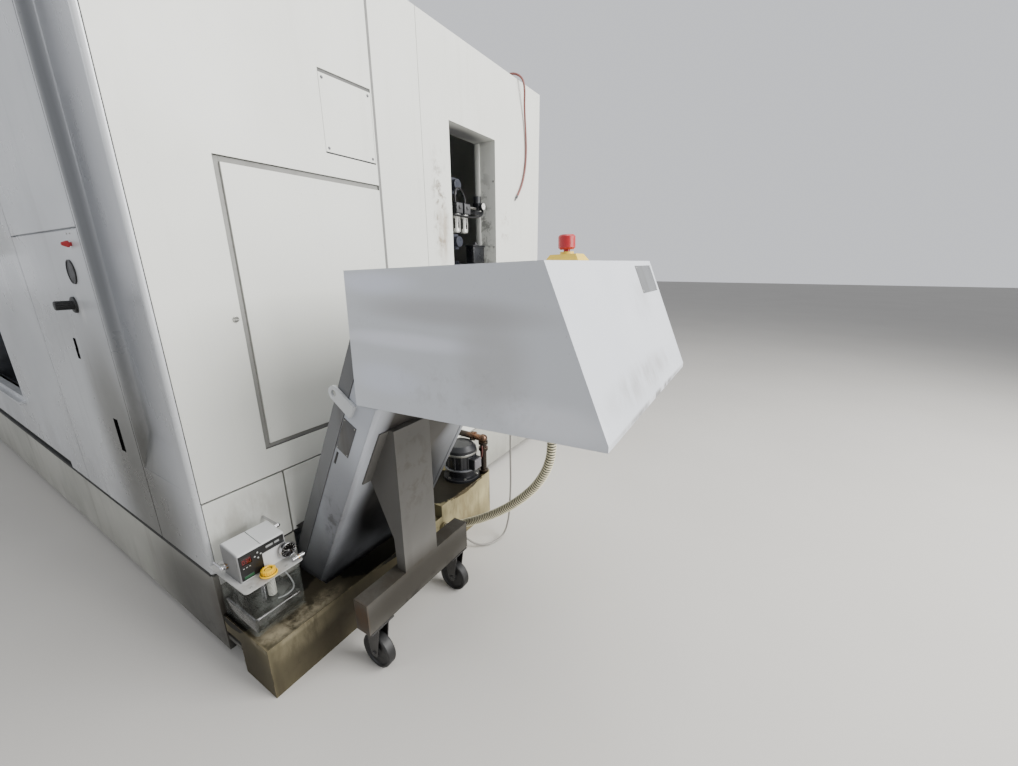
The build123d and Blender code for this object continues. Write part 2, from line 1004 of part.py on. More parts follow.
def door_window():
    """Laminated window pane in the door's rebate."""
    left, right = door_edges()
    w0, w1 = left + window_margin_side, right - window_margin_side
    rim = window_rebate - slide_gap
    y0 = -rail_standoff - door_thickness + window_lip
    return block(
        w0 - rim, w1 + rim, y0, y0 + window_thickness, window_bottom - rim, window_top + rim
    )


def console():
    """Operator panel: sloped housing with a sunk screen and a field of keys."""
    top_depth = console_depth - console_slope
    section = [
        (0, console_bottom), (-console_depth, console_bottom + console_slope),
        (-top_depth, console_top), (0, console_top),
    ]
    body = along_x(section, -console_left, -console_right)
    rise = console_top - console_bottom - console_slope
    slope = Vector(0, console_depth - top_depth, rise).normalized()
    at = Plane(
        origin=(-console_left, -console_depth, console_bottom + console_slope),
        x_dir=(1, 0, 0), z_dir=Vector(1, 0, 0).cross(slope),
    )
    width = console_left - console_right
    length = Vector(0, console_depth - top_depth, rise).length
    m = screen_margin
    body -= at * block(m, width - m, length - m - screen_height, length - m, -screen_recess, 1)
    first = length - m - screen_height - key_top_gap
    for row in range(key_rows):
        for column in range(key_columns):
            x = m + column * key_pitch
            y = first - row * key_pitch
            body += at * block(x, x + key_size, y, y + key_size, -1, key_rise)
    stop = at * Pos(width - console_stop_inset, console_stop_inset, 0)
    return body, stop


def stop_well():
    """Cutter for the well of a stop button's stem, below its plane."""
    depth = stop_stem_length + stop_travel + stop_well_margin
    return rod(stop_stem_radius + slide_gap, (0, 0, -depth), (0, 0, 1))


def stop_button(radius, height, edge):
    """Mushroom push button standing on its plane, with its stem below."""
    head = stop_travel + slide_gap
    profile = [
        (0, -stop_stem_length), (stop_stem_radius, -stop_stem_length), (stop_stem_radius, head),
        (radius - edge, head), (radius, head + edge), (radius, height - edge),
        (radius - edge, height), (0, height),
    ]
    return turned(profile, Plane.XY)


def front_gauge():
    """Round dial in a flush rim on the front panel."""
    profile = [
        (0, -gauge_depth), (gauge_radius - gauge_rim - slide_gap, -gauge_depth),
        (gauge_radius - gauge_rim - slide_gap, 0), (gauge_radius, 0), (gauge_radius, gauge_rim),
        (gauge_radius - gauge_rim, gauge_rim), (gauge_radius - gauge_rim, gauge_rim - gauge_glass_recess),
        (0, gauge_rim - gauge_glass_recess),
    ]
    return turned(profile, Plane(origin=(-gauge_x, 0, gauge_z), z_dir=(0, -1, 0)))


def front_knob():
    """Regulator knob: round flange and a fluted grip on a stem through the panel."""
    flange = slide_gap + knob_flange_height
    profile = [
        (0, -knob_stem_length), (knob_stem_radius, -knob_stem_length), (knob_stem_radius, slide_gap),
        (knob_flange_radius, slide_gap), (knob_flange_radius, flange - knob_edge),
        (knob_flange_radius - knob_edge, flange), (knob_grip_radius, flange),
        (knob_grip_radius, flange + knob_grip_height - knob_edge),
        (knob_grip_radius - knob_edge, flange + knob_grip_height), (0, flange + knob_grip_height),
    ]
    knob = turned(profile, Plane.XY)
    for n in range(knob_flutes):
        angle = 2 * pi * n / knob_flutes
        x, y = knob_grip_radius * cos(angle), knob_grip_radius * sin(angle)
        start = flange + knob_flute_start
        knob -= rod(knob_flute_radius, (x, y, start), (x, y, flange + knob_grip_height))
    return Plane(origin=(-knob_x, 0, knob_z), z_dir=(0, -1, 0)) * knob


def front_button():
    """Small pointed push button in the front panel."""
    head = stop_travel + slide_gap
    profile = [
        (0, -button_stem_length), (button_stem_radius, -button_stem_length),
        (button_stem_radius, head), (button_radius, head), (button_radius, head + button_bezel),
        (button_radius * 0.45, button_height), (0, button_height + 1),
    ]
    return turned(profile, Plane(origin=(-button_x, 0, button_z), z_dir=(0, -1, 0)))


def roof_cover():
    """Flat roof between the upright covers, with the grommet of the loose line."""
    y0, y1 = cover_depth, enclosure_depth - cover_depth
    x0, x1 = -enclosure_length + cover_depth, -cover_depth
    low = machine_height - cover_depth
    roof = block(x0, x1, y0, y1, low, machine_height)
    roof -= block(x0 + sheet, x1 - sheet, y0 + sheet, y1 - sheet, low, machine_height - sheet)
    corner = block(-column_width, x1, y0, column_depth, low, machine_height)
    start, end = Vector(*wire_route[0]), Vector(*wire_route[1])
    back = start - (end - start).normalized() * gland_length
    gland = rod(wire_diameter / 2 + gland_margin, tuple(back), tuple(start))
    post = rod(wire_diameter, (back.X, back.Y, machine_height - sheet), tuple(back))
    return roof - corner + post + Pos(*tuple(back)) * Sphere(wire_diameter) + gland


def rear_covers():
    """Plain folded covers of the back and of the left end."""
    bottom = base_top + base_seam
    right = cover_depth + slide_gap
    back = folded_cover(right, enclosure_length, bottom, machine_height, base_seam)
    back = Pos(0, enclosure_depth, 0) * Rot(0, 0, 180) * back
    depth = enclosure_depth - 2 * (cover_depth + seam)
    left = folded_cover(0, depth, bottom, machine_height, base_seam)
    start = enclosure_depth - cover_depth - seam
    left = Pos(-enclosure_length, start, 0) * Rot(0, 0, -90) * left
    return Compound([back, left])


def end_cover_front():
    """Front half of the right end, with pockets for the access and small covers."""
    left, right = end_front_edge, end_split_y - end_split_gap / 2
    bottom = lower_split_z + seam / 2
    cover = folded_cover(left, right, bottom, machine_height, seam)
    strip = access_strip
    y0, y1 = access_near - strip, right
    z0, z1 = access_bottom - strip, access_top + strip
    pan = access_thickness
    cover += block(y0 - sheet, y1, 0, pan + sheet, z0 - sheet, z1 + sheet)
    cover -= block(y0, y1 - sheet, -1, pan, z0, z1)
    fit = small_cover_fit
    y0, y1 = small_cover_near - fit, small_cover_far + fit
    z0, z1 = small_cover_bottom - fit, small_cover_top + small_cover_strip
    pan = small_cover_thickness
    cover += block(y0 - sheet, min(y1 + sheet, right), 0, pan + sheet, z0 - sheet, z1 + sheet)
    cover -= block(y0, y1, -1, pan, z0, z1)
    y = access_near - access_strip - latch_radius * 2
    cover -= rod(latch_stem_radius + shaft_fit, (y, -1, latch_z), (y, cover_depth, latch_z))
    return on_right_end(cover)


def access_panel():
    """Lift-off access panel of the right end: folded sheet seated in its pocket."""
    right = end_split_y - end_split_gap / 2 - sheet
    y0, y1 = access_near, min(access_far, right)
    panel = block(y0, y1, 0, access_thickness, access_bottom, access_top)
    inner = block(
        y0 + sheet, y1 - sheet, sheet, access_thickness, access_bottom + sheet, access_top - sheet
    )
    return on_right_end(panel - inner)


def small_cover():
    """Flat cover plate in its pocket on the right end."""
    plate = block(
        small_cover_near, small_cover_far, 0, small_cover_thickness, small_cover_bottom, small_cover_top
    )
    return on_right_end(plate)


def access_latch():
    """Quarter-turn latch beside the access panel, with a driver slot."""
    y = access_near - access_strip - latch_radius * 2
    head = slide_gap + latch_head
    profile = [
        (0, -cover_depth), (latch_stem_radius, -cover_depth), (latch_stem_radius, slide_gap),
        (latch_radius, slide_gap), (latch_radius, head - latch_edge),
        (latch_radius - latch_edge, head), (0, head),
    ]
    latch = turned(profile, Plane.XY)
    half = latch_slot_width / 2
    latch -= block(-half, half, -latch_radius, latch_radius, head - latch_slot_depth, head)
    return Plane(origin=(0, y, latch_z), z_dir=(1, 0, 0)) * latch


def end_cover_rear():
    """Rear half of the right end, with a joggle seam and a frame welded into its opening."""
    left, right = end_split_y + end_split_gap / 2, enclosure_depth
    bottom = base_top + base_seam
    cover = folded_cover(left, right, bottom, machine_height, base_seam)
    y0 = joggle_y - joggle_width / 2
    cover -= block(y0, y0 + joggle_width, -1, joggle_depth, bottom, machine_height)
    near, far = service_near, service_far
    hole = block(near, far, -1, jamb_depth + 1, service_bottom, service_top)
    frame = block(
        near - sheet, far + sheet, sheet, jamb_depth, service_bottom - sheet, service_top + sheet
    )
    return Compound([on_right_end(cover - hole), on_right_end(frame - hole)])


def end_lower_covers():
    """Two low covers of the right end, below the long seam."""
    bottom = base_top + base_seam
    top = lower_split_z - seam / 2
    near = folded_cover(end_front_edge, lower_split_y - seam / 2, bottom, top, base_seam)
    far = folded_cover(
        lower_split_y + seam / 2, end_split_y - end_split_gap / 2, bottom, top, base_seam
    )
    return Compound([on_right_end(near), on_right_end(far)])


def hydraulic_column():
    """Valve column behind the service opening: manifold bar with stacked valves."""
    x1 = -column_setback
    x0 = x1 - valve_size * 2
    column = block(x0, x1, column_near, column_far, base_top, service_top + valve_size)
    for n in range(valve_count):
        z = valve_first_z + n * valve_pitch
        y = (column_near + column_far) / 2
        half = valve_size / 2
        column += block(x1, x1 + valve_length, y - half, y + half, z - half, z + half)
        end = x1 + valve_length + solenoid_length
        column += rod(solenoid_radius, (x1 + valve_length, y, z), (end, y, z))
    return column


def air_unit():
    """Air preparation row: two bodies with bowls, outlet, regulator with knob, gauge, bracket."""
    x = -air_setback
    half = air_block / 2
    unit = rod(air_nipple_radius, (x, air_y, air_z), (x, air_y + air_pitch, air_z))
    for y in (air_y, air_y + air_pitch):
        unit += block(x - half, x + half, y - half, y + half, air_z - half, air_z + half)
        bowl_top = air_z - half
        unit += rod(bowl_radius, (x, y, bowl_top - bowl_length), (x, y, bowl_top))
        unit += Pos(x, y, bowl_top - bowl_length) * Sphere(bowl_radius)
    z = air_z + half - 2 * air_outlet_radius
    unit += rod(air_outlet_radius, (x, air_y + air_pitch, z), (x, regulator_y, z))
    z = air_z + regulator_rise
    half = regulator_size / 2
    unit += block(x - half, x + half, regulator_y - half, regulator_y + half, z - half, z + half)
    top = z + half
    unit += rod(air_knob_radius, (x, regulator_y, top), (x, regulator_y, top + air_knob_height))
    dial_x = x + half + air_gauge_stem
    end = dial_x + air_gauge_thickness
    unit += rod(air_outlet_radius, (x + half - 1, regulator_y, z), (dial_x, regulator_y, z))
    unit += rod(air_gauge_radius, (dial_x, regulator_y, z), (end, regulator_y, z))
    back = x - air_block / 2
    near, low = air_y - air_block / 2, air_z - air_arm_height / 2
    arm = block(back - air_arm_thickness, back, near, service_far, low, low + air_arm_height)
    return unit + arm


def nozzle(last_run, radius):
    """Stub that goes on from the end of a cord, in line with its last run."""
    start, end = Vector(*last_run[0]), Vector(*last_run[1])
    along = (end - start).normalized()
    reach = (end.X - tank_width + nozzle_overlap) / -along.X
    return rod(radius, tuple(end), tuple(end + along * reach))


def far_rounded(box, radius):
    """Box whose far outer upright edge is rounded."""
    return fillet(box.edges().filter_by(Axis.Z).group_by(Axis.X)[-1].sort_by(Axis.Y)[-1], radius)


def coolant_tank():
    """Sheet tank beside the base: low near end, raised far end, sunk lids, corner notch."""
    x0, x1 = tank_base_gap, tank_width
    t = tank_sheet
    low = block(x0, x1, tank_near, tank_step_y, 0, tank_height)
    lid_top = tank_height - tank_cover_drop
    low -= block(x0 + t, x1 - t, tank_near + t, tank_step_y, lid_top, tank_height + 1)
    high = far_rounded(block(x0, x1, tank_step_y, tank_far, 0, tank_far_height), tank_corner_radius)
    lid_top = tank_far_height - tank_cover_drop
    recess = block(x0 + t, x1 - t, tank_step_y + t, tank_far - t, lid_top, tank_far_height + 1)
    tank = low + high - far_rounded(recess, tank_corner_radius - t)
    y0 = trunk_near - trough_margin
    y1 = trunk_far + trough_margin
    tank -= block(x0 - 1, tank_slot_reach, y0, y1, trough_floor, tank_far_height + 1)
    notch = tank_near + tank_notch_depth
    tank -= block(x0 - 1, tank_notch_length, tank_near - 1, notch, -1, tank_notch_height)
    outside = block(x1 - t, x1 + tank_width, tank_near, tank_far, 0, tank_far_height)
    tank += nozzle(hose_route[-2:], spigot_radius) & outside
    return tank + (nozzle(cable_route[-2:], cable_diameter) & outside)


def coolant_pump():
    """Upright immersion pump: flange, wet column, finned motor and domed fan cover."""
    z0 = tank_far_height - tank_cover_drop
    z1 = z0 + pump_flange_height
    z2 = z1 + pump_body_height
    z3 = z2 + pump_motor_height
    cowl_radius = pump_motor_radius + pump_cowl_margin
    profile = [
        (0, z0), (pump_flange_radius, z0), (pump_flange_radius, z1), (pump_body_radius, z1),
        (pump_body_radius, z2 - pump_joint_height), (pump_motor_radius, z2 - pump_joint_height),
        (pump_motor_radius, z3 - pump_cowl_height), (cowl_radius, z3 - pump_cowl_height),
        (cowl_radius, z3 + pump_cowl_overlap),
        (pump_motor_radius * 0.8, z3 + pump_dome_height * 0.8), (0, z3 + pump_dome_height),
    ]
    pump = turned(profile, Plane(origin=(pump_x, pump_y, 0)))
    for n in range(pump_fins):
        turn = 360 / pump_fins * n
        r = pump_motor_radius - 1
        half = pump_fin_width / 2
        fin = block(r, r + pump_fin_depth, -half, half, z2, z3 - pump_fin_end)
        pump += Pos(pump_x, pump_y, 0) * Rot(0, 0, turn) * fin
    half = pump_box_size / 2
    x0 = pump_x + pump_motor_radius - pump_fin_depth
    low = z2 + pump_joint_height
    box = block(x0, x0 + pump_box_depth, pump_y - half, pump_y + half, low, low + pump_box_size)
    return pump + box


def coolant_pipe():
    """Threaded riser, tee and elbow that feed the machine from the tank."""
    z0 = tank_far_height - tank_cover_drop
    top = z0 + pipe_rise
    pipe = rod(pipe_radius, (pipe_x, pipe_y, z0), (pipe_x, pipe_y, top))
    pipe += Pos(pipe_x, pipe_y, top) * Sphere(pipe_elbow_radius)
    for rise in pipe_nut_places:
        z = z0 + rise
        pipe += rod(pipe_nut_radius, (pipe_x, pipe_y, z), (pipe_x, pipe_y, z + pipe_nut_height))
    reach = pipe_x - pipe_arm
    pipe += rod(pipe_nut_radius, (reach, pipe_y, top), (reach + pipe_nut_height, pipe_y, top))
    return pipe + rod(pipe_radius, (pipe_x, pipe_y, top), (0, pipe_y, top))


def trunk_outline(low, high, tail, head):
    """Side view of a layer of the conveyor between two heights above its underside."""
    return [
        (tail, trunk_floor + low), elbow(low), on_incline(head, low),
        on_incline(head, high), elbow(high), (tail, trunk_floor + high),
    ]


def conveyor_trunk():
    """Welded trunk: bent floor with its tail wall and belt runners, and two side plates."""
    t = trunk_sheet
    near, far = trunk_near + t, trunk_far - t
    floor = across_y(trunk_outline(0, t, -trunk_tail, trunk_head), near, far)
    top = trunk_floor + trunk_thickness
    floor += block(-trunk_tail, -trunk_tail + t, near, far, trunk_floor, top)
    z0, z1 = trunk_floor + t, trunk_floor + belt_across - belt_radius
    x0, x1 = -trunk_tail + runner_end_margin, elbow(0)[0] - runner_end_margin
    for y in (trunk_near + runner_inset, trunk_far - runner_inset - runner_width):
        floor += block(x0, x1, y, y + runner_width, z0, z1)
    x, z = on_incline(head_along, belt_across)
    bearing = rod(shaft_radius + shaft_fit, (x, trunk_near - 1, z), (x, trunk_far + 1, z))
    outline = trunk_outline(0, trunk_thickness, -trunk_tail, trunk_head)
    plates = [across_y(outline, y, y + t) - bearing for y in (trunk_near, far)]
    return Compound([floor, *plates])


def lifting_lug():
    """Eye plate on a foot, on the near side of the trunk just under the hood."""
    x, z = on_incline(-lug_along, lug_across)
    foot = flange_skirt + 1
    eye = Pos(-lug_length, 0, 0) * extrude(Circle(lug_width / 2), amount=lug_thickness)
    hole = Pos(-lug_length, 0, 0) * extrude(Circle(lug_hole_radius), amount=lug_thickness)
    corner = (Align.MAX, Align.CENTER)
    plate = extrude(Rectangle(lug_length, lug_width, align=corner), amount=lug_thickness)
    spacer = extrude(Rectangle(lug_foot, lug_width, align=corner), amount=foot)
    a = radians(lug_angle)
    at = Plane(origin=(x, trunk_near, z), x_dir=(cos(a), 0, -sin(a)), z_dir=(0, -1, 0))
    return at * (Pos(0, 0, foot) * (plate + eye - hole) + spacer)


def trunk_cover():
    """Cover channel over the slope: top plate with folded side skirts and bolts."""
    low, high = trunk_thickness, trunk_thickness + flange_height
    start = elbow(low)
    a = radians(incline)
    along0 = (start[1] - entry_z - low * cos(a)) / sin(a) + flange_start
    along1 = trunk_head
    top = [
        on_incline(along0, low), on_incline(along1, low),
        on_incline(along1, high), on_incline(along0, high),
    ]
    cover = across_y(top, trunk_near - flange_skirt, trunk_far + flange_skirt)
    under = [
        on_incline(along0 - 1, low - 1), on_incline(along1 + 1, low - 1),
        on_incline(along1 + 1, high - sheet), on_incline(along0 - 1, high - sheet),
    ]
    cover -= across_y(under, trunk_near + 2 * flange_height, trunk_far - 2 * flange_height)
    skirt = [
        on_incline(along0, low - flange_skirt_drop), on_incline(along1, low - flange_skirt_drop),
        on_incline(along1, high), on_incline(along0, high),
    ]
    cover += across_y(skirt, trunk_near - flange_skirt, trunk_near)
    cover += across_y(skirt, trunk_far, trunk_far + flange_skirt)
    count = int((entry_z - start[1]) / sin(a) / flange_bolt_pitch)
    for n in range(count):
        along = -flange_bolt_inset * 2 - n * flange_bolt_pitch
        for y in (trunk_near + flange_bolt_inset, trunk_far - flange_bolt_inset):
            x0, z0 = on_incline(along, high)
            x1, z1 = on_incline(along, high + flange_bolt_height)
            cover += rod(flange_bolt_radius, (x0, y, z0), (x1, y, z1))
    return cover


def entry_seal():
    """Rubber lip that closes the trunk's cover against the end cover."""
    foot = base_top + base_seam + 2 * seam
    a = radians(incline)
    high = trunk_thickness + flange_height
    along = (foot - entry_z - high * cos(a)) / sin(a)
    x0 = on_incline(along, high)[0]
    x1 = on_incline(along + seal_height / sin(a), high)[0]
    points = [(0, foot), (x0, foot), (x1, foot + seal_height), (x1 - seal_thickness, foot + seal_height)]
    return across_y(points, trunk_near - flange_skirt, trunk_far + flange_skirt)


def belt_face(radius):
    """Side view of a closed belt line at a distance from the conveyor's mid plane."""
    tail = -trunk_tail + 2 * belt_radius + belt_thickness
    low, high = belt_across - radius, belt_across + radius
    t_low, t_high = (tail, trunk_floor + low), (tail, trunk_floor + high)
    t_mid = (tail - radius, trunk_floor + belt_across)
    h_low, h_high = on_incline(head_along, low), on_incline(head_along, high)
    h_mid = on_incline(head_along + radius, belt_across)
    bend_low, bend_high = elbow(low), elbow(high)
    stops = (t_low, bend_low, h_low, h_mid, h_high, bend_high, t_high, t_mid)
    a, b, c, d, e, f, g, h = [(x, 0, z) for x, z in stops]
    edges = [Line(a, b), Line(b, c), ThreePointArc(c, d, e), Line(e, f), Line(f, g), ThreePointArc(g, h, a)]
    return make_face(edges)


def chip_belt():
    """Hinged steel belt loop with cross slats on its straight runs."""
    y0 = trunk_near + trunk_sheet + belt_side_gap
    y1 = trunk_far - trunk_sheet - belt_side_gap
    ring = belt_face(belt_radius) - belt_face(belt_radius - belt_thickness)
    belt = Pos(0, y0, 0) * extrude(ring, amount=y1 - y0, dir=(0, 1, 0))
    level = int((elbow(belt_across)[0] + trunk_tail - 4 * belt_radius) / slat_pitch)
    top = trunk_floor + belt_across + belt_radius
    for n in range(level):
        x = -trunk_tail + 3 * belt_radius + n * slat_pitch
        belt += block(x, x + slat_width, y0, y1, top - 1, top + slat_height)
    rise = (entry_z - trunk_floor) / sin(radians(incline))
    for n in range(int((rise + head_along - 2 * belt_radius) / slat_pitch)):
        along = head_along - belt_radius - n * slat_pitch
        high = belt_across + belt_radius
        points = [
            on_incline(along, high - 1), on_incline(along + slat_width, high - 1),
            on_incline(along + slat_width, high + slat_height), on_incline(along, high + slat_height),
        ]
        belt += across_y(points, y0, y1)
    return belt


def head_shaft():
    """Drive shaft across the trunk's head with two toothed wheels."""
    x, z = on_incline(head_along, belt_across)
    far = trunk_far + shaft_overhang
    shaft = rod(shaft_radius, (x, trunk_near, z), (x, far, z))
    wheel = Circle(sprocket_root_radius)
    tooth = Pos(sprocket_root_radius, 0) * Rectangle(
        2 * (sprocket_radius - sprocket_root_radius), sprocket_root_radius / 3
    )
    for n in range(sprocket_teeth):
        wheel += Rot(0, 0, 360 / sprocket_teeth * n) * tooth
    for y in (trunk_near + sprocket_inset, trunk_far - sprocket_inset - sprocket_width):
        at = Plane(origin=(x, y, z), x_dir=(1, 0, 0), z_dir=(0, 1, 0))
        shaft += at * extrude(wheel, amount=sprocket_width)
    return shaft


def gear_motor():
    """Gearbox bored for the head shaft, with its motor, beside the trunk in the hood."""
    x, z = on_incline(head_along, belt_across)
    y0 = trunk_far + gearbox_spigot_length
    half = gearbox_size / 2
    box = block(x - half, x + half, y0, y0 + gearbox_length, z - half, z + half)
    box += rod(gearbox_spigot_radius, (x, trunk_far, z), (x, y0, z))
    bore = y0 + gearbox_length + 1
    box -= rod(shaft_radius + shaft_fit, (x, trunk_far - 1, z), (x, bore, z))
    motor_y = y0 + gearbox_length / 2
    end = x + half + motor_length
    motor = rod(motor_radius, (x + half, motor_y, z), (end, motor_y, z))
    cowl_radius = motor_radius + motor_cowl_margin
    cowl = rod(cowl_radius, (end, motor_y, z), (end + motor_cowl_length, motor_y, z))
    return box + motor + cowl


def hood_outline():
    """Side view of the hood: its end leans out and stands upright over the last stretch."""
    x, z = hood_right_bottom
    bend = (x, z + hood_end_upright)
    return [hood_left_bottom, hood_left_top, hood_right_top, bend, hood_right_bottom]


def hood_floor(x):
    """Height of the hood's bottom edge at a distance from the machine."""
    x0, z0 = hood_left_bottom
    x1, z1 = hood_right_bottom
    return z0 + (z1 - z0) * (x - x0) / (x1 - x0)


def hood_roof(x):
    """Height of the hood's top at a distance from the machine."""
    x0, z0 = hood_left_top
    x1, z1 = hood_right_top
    return z0 + (z1 - z0) * (x - x0) / (x1 - x0)


def conveyor_hood():
    """Sheet hood over the conveyor's head: trunk slot, discharge hole with lips, spigots."""
    near, far = hood_near, hood_far
    shell = across_y(hood_outline(), near, far)
    t = hood_sheet
    face = make_face(Polyline([(x, near + t, z) for x, z in hood_outline()], close=True))
    inner = offset(face, amount=-t)
    shell -= extrude(inner, amount=hood_width - 2 * t, dir=(0, 1, 0))
    gap = hood_slot_gap
    high = trunk_thickness + flange_height + flange_bolt_height + gap
    start, end = -hood_slot_start, trunk_head + hood_slot_start
    slot = [on_incline(start, -gap), on_incline(end, -gap), on_incline(end, high), on_incline(start, high)]
    clear = flange_skirt + gap
    shell -= across_y(slot, trunk_near - clear, trunk_far + clear)
    x0, x1 = discharge_left, discharge_right
    y0, y1 = near + discharge_margin, discharge_far
    z0, z1 = hood_floor(x0), hood_floor(x1)
    through = 2 * lip_height
    cut = [(x0, z0 - through), (x1, z1 - through), (x1, z1 + through), (x0, z0 + through)]
    shell -= across_y(cut, y0, y1)
    rim = [(x0, z0 - lip_height), (x1, z1 - lip_height), (x1, z1 + t), (x0, z0 + t)]
    x0, x1 = x0 + lip_thickness, x1 - lip_thickness
    hole = [(x0, z0 - through), (x1, z1 - through), (x1, z1 + through), (x0, z0 + through)]
    lip = across_y(rim, y0, y1) - across_y(hole, y0 + lip_thickness, y1 - lip_thickness)
    shell += lip
    x, y, z = hose_route[0]
    shell += rod(spigot_radius, (x, y, z), (x, y, hood_floor(x) + t / 2))
    x, y, z = cable_route[0]
    return shell + rod(cable_diameter, (x, y, z), (x, y, hood_floor(x) + t / 2))


def stop_plane():
    """Seat of the emergency stop on the sloping top of the hood."""
    slope = Vector(*[b - a for a, b in zip(hood_left_top, hood_right_top)])
    along = Vector(slope.X, 0, slope.Y).normalized()
    return Plane(
        origin=(stop_x, stop_y, hood_roof(stop_x)), x_dir=along, z_dir=(-along.Z, 0, along.X)
    )


def stop_base():
    """Low bevelled base of the emergency stop with its round collar, bored for the stem."""
    bottom = Rectangle(stop_base_length, stop_base_width)
    bevel = 2 * stop_base_bevel
    top = Pos(0, 0, stop_base_height) * Rectangle(stop_base_length - bevel, stop_base_width - bevel)
    base = loft([bottom.face(), top.face()])
    height = stop_base_height + stop_collar_height
    base += rod(stop_collar_radius, (0, 0, stop_base_height / 2), (0, 0, height))
    return stop_plane() * (base - Pos(0, 0, height) * stop_well())


def hood_stop_button():
    """Red mushroom button of the hood's emergency stop."""
    lift = stop_base_height + stop_collar_height
    button = stop_button(stop_button_radius, stop_button_height, stop_button_edge)
    return stop_plane() * Pos(0, 0, lift) * button


def under_slope(z):
    """Point of the sloping trunk's underside at a height."""
    return (entry_x - (entry_z - z) / tan(radians(incline)), z)


def conveyor_leg():
    """Folded post with tapered side flanges, its seat under the trunk and a cross beam."""
    t = leg_sheet
    x1 = leg_face_x
    crown = under_slope(leg_top)
    side = [(x1, beam_top), (x1, leg_top), crown, under_slope(leg_knee), leg_bend, leg_toe]
    leg = across_y(side, leg_near, leg_near + t) + across_y(side, leg_far - t, leg_far)
    leg += block(x1 - t, x1, leg_near, leg_far, beam_top, leg_top)
    leg += across_y([(x1, leg_top), crown, under_slope(leg_top - t), (x1, leg_top - t)], leg_near, leg_far)
    high, low = [-(entry_z - z) / sin(radians(incline)) for z in (leg_top, leg_knee)]
    seat = [on_incline(low, -t), on_incline(high, -t), on_incline(high, 0), on_incline(low, 0)]
    leg += across_y(seat, leg_near - leg_plate_margin, leg_far + leg_plate_margin)
    return leg + block(x1 - beam_width, x1, beam_near, beam_far, beam_bottom, beam_top)


def caster_places():
    """Plan positions of the two casters under the beam."""
    x = leg_face_x - beam_width / 2
    return [(x, beam_near + caster_inset), (x, beam_far - caster_inset)]


def caster_forks():
    """Rigid caster brackets: top plate, two cheeks and the axle."""
    forks = []
    for x, y in caster_places():
        half_l, half_w = caster_plate_length / 2, caster_plate_width / 2
        plate_z = beam_bottom - caster_plate_thickness
        fork = block(x - half_w, x + half_w, y - half_l, y + half_l, plate_z, beam_bottom)
        gap = wheel_width / 2 + fork_gap
        for s in (-1, 1):
            y0, y1 = sorted((y + s * gap, y + s * (gap + fork_thickness)))
            cheek = [
                (x - hub_radius, wheel_radius), (x - half_w, plate_z), (x + half_w, plate_z),
                (x + hub_radius, wheel_radius),
            ]
            fork += across_y(cheek, y0, y1) + rod(hub_radius, (x, y0, wheel_radius), (x, y1, wheel_radius))
        reach = gap + fork_thickness + axle_stickout
        fork += rod(axle_radius, (x, y - reach, wheel_radius), (x, y + reach, wheel_radius))
        forks.append(fork)
    return Compound(forks)


def caster_wheel(x, y):
    """Caster wheel with a stepped hub, bored for its axle."""
    half = wheel_width / 2
    bore = axle_radius + shaft_fit
    side = half - 1
    web = half - web_recess
    one_side = [
        (bore, half), (hub_radius, half), (hub_radius + tread_bevel, web),
        (wheel_radius - tread_thickness, web), (wheel_radius - tread_thickness + tread_bevel, side),
        (wheel_radius - tread_edge, side), (wheel_radius, half - tread_bevel),
    ]
    profile = one_side + [(r, -h) for r, h in reversed(one_side)]
    return turned(profile, Plane(origin=(x, y, wheel_radius), z_dir=(0, 1, 0)))


def lube_bracket():
    """Folded shelf of the lubrication unit, pierced for the filler neck."""
    y0, y1 = lube_shelf_near, lube_shelf_far
    top = lube_shelf_top
    shelf = block(0, lube_shelf_reach, y0, y1, top - sheet, top)
    shelf = fillet(shelf.edges().filter_by(Axis.Z).group_by(Axis.X)[-1], lube_shelf_corner)
    wall_near = end_front_edge
    back = block(0, sheet, wall_near, y1, top - sheet - lube_back_drop, top)
    hole = neck_radius + slide_gap
    bracket = shelf + back
    bracket -= block(0, slide_gap, y0, wall_near, top - sheet, top)
    return bracket - rod(hole, (cap_x, cap_y, top - sheet - 1), (cap_x, cap_y, top + 1))


def lube_housing():
    """Moulded pump housing on the shelf: rounded edges, sloping top and a split line."""
    top = lube_shelf_top + housing_height
    side = [
        (housing_left, lube_shelf_top), (housing_right, lube_shelf_top),
        (housing_right, top - housing_slope), (housing_left, top),
    ]
    body = across_y(side, housing_near, housing_far)
    crown = body.faces().sort_by(Axis.Z)[-1].edges()
    body = fillet(body.edges().filter_by(Axis.Z) + crown, face_margin)
    middle = (housing_near + housing_far) / 2
    half = housing_split_width / 2
    low = top - housing_split_depth
    return body - block(housing_left - 1, housing_right + 1, middle - half, middle + half, low, top + 1)


def lube_face():
    """Dark control face: sunk display, four round keys and a long key."""
    x0, x1 = housing_right, housing_right + face_plate
    z0 = lube_shelf_top + face_margin
    z1 = lube_shelf_top + housing_height - housing_slope - face_margin
    middle = (housing_near + housing_far) / 2
    y0, y1 = housing_near + face_margin, middle - face_margin / 2
    face = block(x0, x1, y0, y1, z0, z1)
    face += block(x0, x1, y1 - 1, housing_far - face_margin, (z0 + 2 * z1) / 3, z1)
    left, right = y0 + face_margin, y0 + face_margin + display_width
    top = z1 - 2 * face_margin
    face -= block(x1 - 1, x1 + 1, left, right, top - display_height, top)
    x2 = x1 + key_dome_rise
    y = (right + face_margin + y1) / 2
    z = top - display_height / 2
    reach = 3 * key_dome_radius
    for dy, dz in ((-reach, 0), (reach, 0), (0, reach), (0, -reach)):
        face += rod(key_dome_radius, (x1 - 1, y + dy, z + dz), (x2, y + dy, z + dz))
    low = z0 + face_key_rise
    return face + block(x1 - 1, x2, left, right, low, low + face_key_height)


